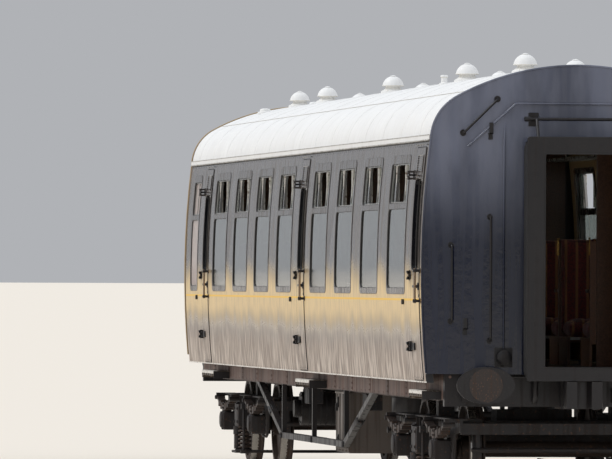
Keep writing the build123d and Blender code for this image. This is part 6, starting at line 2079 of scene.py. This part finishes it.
@dataclass(frozen=True)
class StepBoards(Assembly):
    """Worn nosings, battens, end plates and bolts of the door steps."""

    steps: tuple[Pair, ...] = ((0.75, 1.1), (-7.62, 1.1), (9.04, 0.85))
    out_y: float = 1.346
    top_z: float = 0.998

    def build(self) -> None:
        """Make every piece of the steps."""
        nosings, battens, plates, spots = Shape(), [], Shape(), []
        y, z = self.out_y, self.top_z
        for side in Side:
            for x, length in self.steps:
                x0, x1 = x - length / 2, x + length / 2
                nosings.block(side.at(x0, y - 0.045, z - 0.004), side.at(x1, y + 0.003, z + 0.003))
                nosings.block(side.at(x0, y - 0.004, z - 0.03), side.at(x1, y + 0.003, z + 0.001))
                battens += [
                    [side.at(x0 + 0.02, row, z + 0.001), side.at(x1 - 0.02, row, z + 0.001)]
                    for row in (1.2, 1.235, 1.27)]
                for edge in (x0 - 0.006, x1 - 0.004):
                    plates.block(side.at(edge, 1.172, 0.918), side.at(edge + 0.01, 1.344, 0.992))
                bolts = [side.at(place, y + 0.003, 0.958) for place in np.linspace(x0 + 0.06, x1 - 0.06, 6)]
                spots += facing(bolts, side.out)
        self.solid("step_nosings", nosings, Look.EDGE)
        self.bars("step_battens", battens, 0.014, 0.006, Look.STEP)
        self.solid("step_end_plates", plates, Look.IRON)
        self.studs("step_bolts", spots, 0.008, 0.004, Look.IRON, 10)


@dataclass(frozen=True)
class Bogie(Assembly):
    """One bogie's bolts, pins, clips, seats, dampers and brake rods."""

    end: int = 1
    pivot: float = 7.087
    axles: Pair = (-1.295, 1.295)
    axle_z: float = 0.457
    box_y: float = 1.09
    plate_y: float = 0.95
    spring_y: float = 1.01

    def at(self, side: Side, x: float, y: float, z: float) -> Point:
        """A point on one side, counted from the bogie's pivot."""
        return side.at(self.end * self.pivot + x, y, z)

    def build(self) -> None:
        """Make every piece of this bogie."""
        self._axleboxes()
        self._springs()
        self._frame()
        self._bolster()
        self._brakes()

    def _axleboxes(self) -> None:
        """Covers with bolts, oil lids and ribs on the four axleboxes, and the horn ties below them."""
        covers, ribs, spots, ties = Shape(), Shape(), [], []
        for x, side in ((x, side) for x in self.axles for side in Side):
            covers.turned(
                [(0.0, 0.1), (0.008, 0.1), (0.012, 0.088), (0.0285, 0.086), (0.034, 0.07), (0.038, 0.03)],
                self.at(side, x, self.box_y, self.axle_z), side.out, 32)
            covers.turned(
                [(0.0, 0.022), (0.014, 0.022), (0.018, 0.014)],
                self.at(side, x, self.box_y, self.axle_z - 0.088), side.out, 14)
            bolts = [
                self.at(side, x + 0.105 * math.cos(a), self.box_y, self.axle_z + 0.0903 * math.sin(a))
                for a in (0.785, 2.356, 3.927, 5.498)]
            spots += facing(bolts, side.out)
            for dx in (-0.119, 0.107):
                ribs.block(self.at(side, x + dx, 0.9, 0.36), self.at(side, x + dx + 0.012, 1.096, 0.53))
            ties.append([self.at(side, x + dx, 0.9375, z) for dx, z in (
                (-0.215, 0.345), (-0.16, 0.318), (0.16, 0.318), (0.215, 0.345))])
        self.solid("axlebox_covers", covers, Look.BOGIE, 35.0)
        self.solid("axlebox_ribs", ribs, Look.BOGIE)
        self.studs("axlebox_bolts", spots, 0.01, 0.009, Look.BOGIE)
        self.pipes("horn_ties", ties, 0.013, Look.BOGIE, bend=0.02)

    def _springs(self) -> None:
        """Clips round the leaves, hanger pins and nuts, and the bolts of the buckles."""
        clips, pins, spots = Shape(), Shape(), []
        for x, side in ((x, side) for x in self.axles for side in Side):
            for sign in (-1, 1):
                for reach, low in ((0.25, 0.566), (0.43, 0.594)):
                    middle = x + sign * reach
                    clips.block(
                        self.at(side, middle - 0.013, 0.998, low),
                        self.at(side, middle + 0.013, 1.092, 0.664), 0.003)
                pins.turned(
                    [(0.0, 0.018), (0.004, 0.022), (0.108, 0.022), (0.112, 0.016)],
                    self.at(side, x + sign * 0.69, 0.99, 0.69), side.out, 18)
            bolts = [self.at(side, x + dx, 1.089, z) for dx in (-0.036, 0.036) for z in (0.585, 0.625)]
            spots += facing(bolts, side.out)
        self.solid("spring_clips", clips, Look.SPRING)
        self.solid("hanger_pins", pins, Look.BOGIE, 40.0)
        self.studs("buckle_bolts", spots, 0.011, 0.009, Look.SPRING)

    def _frame(self) -> None:
        """Rivets on the side plates and horns, and stiffening ribs beside the bolster."""
        rows = [(x, 0.712) for x in np.arange(-1.95, 1.96, 0.13)]
        rows += [
            (x + dx, z) for x in self.axles for dx in (-0.205, -0.155, 0.155, 0.205)
            for z in (0.37, 0.44, 0.51)]
        spots, ribs = [], Shape()
        for side in Side:
            spots += facing([self.at(side, x, self.plate_y, z) for x, z in rows], side.out)
            for x in (-0.33, 0.33, -0.56, 0.56):
                ribs.block(
                    self.at(side, x - 0.007, self.plate_y, 0.47), self.at(side, x + 0.007, 0.996, 0.726))
        self.studs("frame_rivets", spots, 0.011, 0.007, Look.BOGIE, 8)
        self.solid("frame_ribs", ribs, Look.BOGIE)

    def _bolster(self) -> None:
        """Cups for the coil springs, dampers beside them, link nuts and the bolster's end plates."""
        cups, dampers, spots, plates = Shape(), Shape(), [], Shape()
        for side in Side:
            for dx in (-0.09, 0.09):
                cups.turned(
                    [(0.0, 0.084), (0.01, 0.084), (0.012, 0.046), (0.03, 0.044)],
                    self.at(side, dx, self.spring_y, 0.145), UP, 28)
                cups.turned(
                    [(0.0, 0.044), (0.018, 0.046), (0.02, 0.084), (0.03, 0.084)],
                    self.at(side, dx, self.spring_y, 0.38), UP, 28)
            dampers.turned(
                [(0.0, 0.018), (0.02, 0.018), (0.022, 0.036), (0.17, 0.036), (0.174, 0.03), (0.176, 0.044),
                    (0.262, 0.044), (0.266, 0.018)], self.at(side, 0.0, 1.082, 0.14), UP)
            plates.block(self.at(side, -0.15, 1.088, 0.425), self.at(side, 0.15, 1.096, 0.625), 0.003)
            bolts = [self.at(side, dx, 1.096, z) for dx in (-0.12, 0.12) for z in (0.455, 0.595)]
            spots += facing(bolts, side.out)
            spots += facing([self.at(side, dx, 1.045, 0.65) for dx in (-0.27, 0.27)], UP)
        self.solid("spring_cups", cups, Look.BOGIE, 40.0)
        self.solid("dampers", dampers, Look.BOGIE, 40.0)
        self.solid("bolster_plates", plates, Look.BOGIE)
        self.studs("bolster_bolts", spots, 0.014, 0.012, Look.BOGIE)

    def _brakes(self) -> None:
        """Pull rods between the brake beams and pins through the hangers."""
        rods = [[self.at(side, x, 0.34, 0.3) for x in (-1.83, 1.83)] for side in Side]
        pins = Shape()
        for x, side in ((x + dx, side) for x in self.axles for dx in (-0.54, 0.54) for side in Side):
            pins.turned(
                [(0.0, 0.016), (0.004, 0.02), (0.092, 0.02), (0.096, 0.014)],
                self.at(side, x, 0.725, self.axle_z), side.out, 16)
        self.pipes("pull_rods", rods, 0.014, Look.BOGIE, sides=10)
        self.solid("brake_pins", pins, Look.BOGIE, 40.0)


@dataclass(frozen=True)
class Wheelset(Assembly):
    """Worn treads, tyre grooves, hub rings and axle-end fittings of one wheelset."""

    tread: float = 0.457
    back: float = 0.681
    grooves: tuple[Pair, ...] = ((0.396, 0.8165), (0.132, 0.8455))
    hub: Pair = (0.098, 0.845)

    def build(self) -> None:
        """Make the worn bands and rings."""
        low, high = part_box(self.body)
        x, rings, grooves, spots = (low.x + high.x) / 2, Shape(), [], []
        for side in Side:
            rings.turned(
                [(0.0, self.tread - 0.002), (0.0, self.tread + 0.0006), (0.088, self.tread + 0.0006),
                    (0.096, self.tread - 0.0015)], side.at(x, self.back + 0.036, self.tread), side.out, 64,
                ring=True)
            grooves += [
                around((x, side.value * y, self.tread), radius, full_turn(40), upright=True)
                for radius, y in self.grooves]
            radius, y = self.hub
            bolts = around(
                (x, side.value * y, self.tread), radius, np.arange(0.0, 6.2, 1.0472), upright=True)
            spots += facing(bolts, side.out)
        self.solid("worn_treads", rings, Look.TREAD, 35.0)
        self.pipes("tyre_rings", grooves, 0.004, Look.WHEEL, sides=6, closed=True)
        self.studs("hub_bolts", spots, 0.009, 0.006, Look.WHEEL)


@dataclass(frozen=True)
class Cushion:
    """One kind of seat cushion, blown up by a cloth simulation inside the space of its solid."""

    name: str
    low: Point
    high: Point
    flat_axis: int
    channel_axis: int = 1
    channels: int = 5
    channel_depth: float = 0.009
    channel_width: float = 0.018
    shrink: float = 0.014
    voxel: float = 0.046
    cap: float = 0.026
    pressure: float = 4.0
    steps: int = 20

    def mesh(self) -> Mesh:
        """The finished cushion at its place on a bench whose back is at x = 0 and that faces along X.

        Returns:
            The mesh.
        """
        low, high = tuple(a + self.shrink for a in self.low), tuple(a - self.shrink for a in self.high)
        holder = linked(self.name, settled(Shape().block(low, high, 0.03).mesh(self.name), 90.0))
        self._finish(holder, "REMESH", mode="VOXEL", voxel_size=self.voxel)
        self._inflate(holder)
        self._finish(holder, "SUBSURF", levels=1, render_levels=1)
        self._fit(holder.data)
        done = holder.data
        bpy.data.objects.remove(holder)
        return done

    @staticmethod
    def _finish(holder: Thing, kind: str, **settings: object) -> None:
        """Add a modifier, take its result as the object's mesh and remove it.

        Args:
            holder: the object.
            kind: Blender's name of the modifier type.
            settings: the modifier's own settings.
        """
        modifier = holder.modifiers.new("work", kind)
        for key, value in settings.items():
            setattr(modifier, key, value)
        made = evaluated(holder)
        holder.modifiers.remove(modifier)
        holder.data = made

    @staticmethod
    def _points(mesh: Mesh) -> np.ndarray:
        """The mesh's points as rows."""
        return np.array([tuple(point.co) for point in mesh.vertices])

    def _inflate(self, holder: Thing) -> None:
        """Blow the cushion up with cloth pressure, and cap how far each point moves.

        Args:
            holder: the object whose mesh is blown up.
        """
        scene = bpy.context.scene
        before = self._points(holder.data)
        modifier = holder.modifiers.new("cloth", "CLOTH")
        modifier.settings.use_pressure = True
        modifier.settings.uniform_pressure_force = self.pressure
        modifier.settings.quality = 5
        modifier.settings.effector_weights.gravity = 0.0
        modifier.point_cache.frame_start = 1
        modifier.point_cache.frame_end = self.steps
        for step in range(1, self.steps + 1):
            scene.frame_set(step)
        made = evaluated(holder)
        holder.modifiers.remove(modifier)
        scene.frame_set(1)
        move = self._points(made) - before
        reach = np.linalg.norm(move, axis=1, keepdims=True)
        move *= np.minimum(1.0, self.cap / np.maximum(reach, 1e-9))
        made.vertices.foreach_set("co", (before + move).ravel())
        holder.data = made
        LOG.info("blew up %s, largest move %.1f mm", self.name, 1000 * float(reach.max()))

    def _fit(self, mesh: Mesh) -> None:
        """Fit the cushion to its solid's space, flat where it rests, and press its sewn channels in.

        Args:
            mesh: the cushion's mesh, changed in place.
        """
        points = self._points(mesh)
        low, high = np.array(self.low) + 0.001, np.array(self.high) - 0.001
        share = (points - points.min(axis=0)) / (points.max(axis=0) - points.min(axis=0))
        share[:, self.flat_axis] = np.maximum(0.0, (share[:, self.flat_axis] - 0.1) / 0.9)
        points = low + share * (high - low)
        spread = share[:, self.channel_axis] * self.channels
        near = np.abs(spread - np.round(spread)) / self.channels * (high - low)[self.channel_axis]
        inside = (spread > 0.5) & (spread < self.channels - 0.5)
        pressed = np.exp(-(near / self.channel_width) ** 2) * inside * share[:, self.flat_axis]
        points[:, self.flat_axis] -= self.channel_depth * pressed
        mesh.vertices.foreach_set("co", points.ravel())

    def welt(self, mesh: Mesh, count: int = 36) -> list[Point]:
        """A loop lying on the cushion's upper edge, found by looking out from its middle line.

        Args:
            mesh: the finished cushion.
            count: how many points the loop has.

        Returns:
            The loop's points.
        """
        tree = BVHTree.FromPolygons(
            [point.co for point in mesh.vertices], [tuple(face.vertices) for face in mesh.polygons])
        middle = (Vector(self.low) + Vector(self.high)) / 2
        half = (Vector(self.high) - Vector(self.low)) / 2
        one, two = [axis for axis in range(3) if axis != self.flat_axis]
        loop = []
        for angle in full_turn(count):
            corner = (math.cos(angle) ** 6 + math.sin(angle) ** 6) ** (1 / 6)
            out = Vector((0.0, 0.0, 0.0))
            out[one] = half[one] * math.cos(angle) / corner
            out[two] = half[two] * math.sin(angle) / corner
            out[self.flat_axis] = 0.55 * half[self.flat_axis]
            hit = tree.ray_cast(middle + 0.6 * out, out.normalized())[0]
            loop.append(tuple(hit if hit is not None else middle + out))
        return loop


@dataclass(frozen=True)
class Bench:
    """Where one bench stands: its back's foot, which way it faces and its side."""

    x: float
    faces: int
    side: Side

    def placed(self, points: Iterable[Point]) -> list[Point]:
        """Points of the bench's own frame, put in the coach."""
        return [(self.x + self.faces * x, self.side.value * y, z) for x, y, z in points]


@dataclass(frozen=True)
class Interior(Assembly):
    """Cushions, piping, racks, tables, lamps and mouldings of the two saloons."""

    rack_y: float = 1.25
    rack_z: float = 3.158
    rack_pitch: float = 0.075
    table_z: float = 1.891
    table_half: float = 0.2715
    table_ys: Pair = (0.4185, 1.24)
    lamp_z: float = 3.826
    lobby_lamps: tuple[float, ...] = (0.75, 9.16, -7.73)

    def build(self) -> None:
        """Make every piece inside."""
        self._cushions(Cushion("seat_cushion", raised(0.14, 0.285, 1.47), raised(0.58, 1.225, 1.64), 2))
        self._cushions(Cushion("back_cushion", raised(0.028, 0.285, 1.5), raised(0.138, 1.225, 2.37), 0))
        self._racks()
        self._tables()
        self._lamps()
        self._mouldings()
        self._bench_trim()

    def _benches(self, start: float) -> list[Bench]:
        """The sixteen benches of one saloon.

        Args:
            start: where the saloon's first bay begins.

        Returns:
            The benches in order.
        """
        benches = []
        for bay in range(BAYS):
            first = start + bay * BAY + (0.015 if bay == 0 else 0.0)
            last = start + (bay + 1) * BAY - (0.015 if bay == BAYS - 1 else 0.0)
            benches += [Bench(x, faces, side) for x, faces in ((first, 1), (last, -1)) for side in Side]
        return benches

    def _cushions(self, cushion: Cushion) -> None:
        """Copy one simulated cushion to every bench, with its piping.

        Args:
            cushion: the kind of cushion.
        """
        mesh = cushion.mesh()
        points = [tuple(point.co) for point in mesh.vertices]
        faces = [tuple(face.vertices) for face in mesh.polygons]
        loop = cushion.welt(mesh)
        for start, saloon in zip(SALOON_STARTS, ENDS.values()):
            whole, welts = Shape(), []
            for bench in self._benches(start):
                first = len(whole.points)
                whole.points += bench.placed(points)
                whole.faces += [tuple(first + number for number in face) for face in faces]
                welts.append(bench.placed(loop))
            made = self.solid(f"{cushion.name}s_{saloon}", whole, Look.MOQUETTE, 70.0)
            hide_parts("seat_cushions")
            self.pipes(f"{cushion.name}_piping_{saloon}", welts, 0.005, Look.PIPING, sides=5, closed=True)

    def _racks(self) -> None:
        """Thin rods across the luggage racks and knobs on their lips."""
        rods, spots, y = [], [], self.rack_y
        for start in SALOON_STARTS:
            for side in Side:
                rods += [
                    [side.at(x, y - 0.06, self.rack_z), side.at(x, y - 0.335, self.rack_z)]
                    for x in np.arange(start + 0.12, start + BAYS * BAY - 0.1, self.rack_pitch)]
                places = [side.at(start + bay * BAY, y - 0.15, 3.24) for bay in range(1, BAYS)]
                spots += facing(places, (0.0, -float(side.value), 0.0))
        self.pipes("rack_rods", rods, 0.003, Look.ALUMINIUM, sides=5)
        self.studs("rack_knobs", spots, 0.012, 0.02, Look.BRASS, 10)

    def _tables(self) -> None:
        """Edging round the tables and feet under their legs."""
        edges, feet, (near, far) = [], Shape(), self.table_ys
        for x, side in ((x, side) for x in WINDOW_XS for side in Side):
            x0, x1 = x - self.table_half, x + self.table_half
            edges.append(
                [side.at(*spot, self.table_z) for spot in ((x0, far), (x0, near), (x1, near), (x1, far))])
            feet.turned([(0.0, 0.03), (0.006, 0.03), (0.01, 0.022)], side.at(x, 0.51, 1.21), UP, 16)
        self.bars("table_edging", edges, 0.005, 0.031, Look.ALUMINIUM, bend=0.02)
        self.solid("table_feet", feet, Look.ALUMINIUM, 40.0)

    def _lamps(self) -> None:
        """Round ceiling lamps with bright rims along the middle line."""
        glass, rims, down = Shape(), Shape(), (0, 0, -1)
        for x in (*WINDOW_XS, *self.lobby_lamps):
            glass.turned(
                [(0.0, 0.105), (0.03, 0.103), (0.055, 0.085), (0.07, 0.045), (0.074, 0.01)],
                raised(x, 0.0, self.lamp_z), down, 28)
            rims.turned(
                [(0.0, 0.128), (0.01, 0.128), (0.018, 0.116), (0.026, 0.106)],
                raised(x, 0.0, self.lamp_z + 0.004), down, 32)
        self.solid("ceiling_lamps", glass, Look.LAMP, 40.0)
        self.solid("lamp_rims", rims, Look.BRASS, 40.0)

    def _mouldings(self) -> None:
        """Inner window mouldings, sills and a rail along the ceiling's edge."""
        frames, sills, rails = [], [], []
        outline = rounded(0.64, 1.915, 3.085, 0.06)
        for side in Side:
            sill_y, rail_y = SECTION.half(1.9, -0.078), SECTION.half(3.29, -0.068)
            for x in WINDOW_XS:
                frames.append(side.laid(outline, x, -0.069))
                sills.append([side.at(x + reach, sill_y, 1.907) for reach in (-0.66, 0.66)])
            rails += [
                [side.at(x, rail_y, 3.27) for x in (start + 0.05, start + BAYS * BAY - 0.05)]
                for start in SALOON_STARTS]
        self.pipes("inner_window_mouldings", frames, 0.009, Look.TIMBER, sides=6, closed=True)
        self.bars("window_sills", sills, 0.022, 0.014, Look.TIMBER)
        self.bars("ceiling_rails", rails, 0.02, 0.04, Look.TIMBER)

    def _bench_trim(self) -> None:
        """Corner handholds on the bench ends and kick strips below the seats."""
        benches = [bench for start in SALOON_STARTS for bench in self._benches(start)]
        grip = [raised(x, 0.272, z) for x, z in ((0.016, 2.22), (0.016, 2.365), (0.05, 2.372))]
        strip = [raised(0.566, y, 1.455) for y in (0.3, 1.21)]
        self.pipes("bench_grips", [bench.placed(grip) for bench in benches], 0.008, Look.BRASS, bend=0.02)
        self.bars("bench_strips", [bench.placed(strip) for bench in benches], 0.005, 0.026, Look.ALUMINIUM)


def main() -> None:
    """Build the stage and every part of the coach's looks in order."""
    logging.basicConfig(level=logging.INFO, format="%(message)s")
    Studio().build()
    shop = Shop()
    shop.dress_solids()
    BodySides(shop).build()
    for door in DOORS:
        SideDoor(shop, f"door_{door.name}", f"_{door.name}", door).build()
    RoofTrim(shop).build()
    for end, word in ENDS.items():
        CoachEnd(shop, ending=f"_{word}", end=end).build()
    Underframe(shop).build()
    StepBoards(shop).build()
    Interior(shop).build()
    for end, word in ENDS.items():
        Bogie(shop, f"bogie_{word}", f"_{word}", end).build()
        for place in ("outer", "inner"):
            Wheelset(shop, f"wheelset_{word}_{place}", f"_{word}_{place}").build()
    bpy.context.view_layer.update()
    LOG.info("%d pieces made", shop.count)


if __name__ == "__main__":
    main()
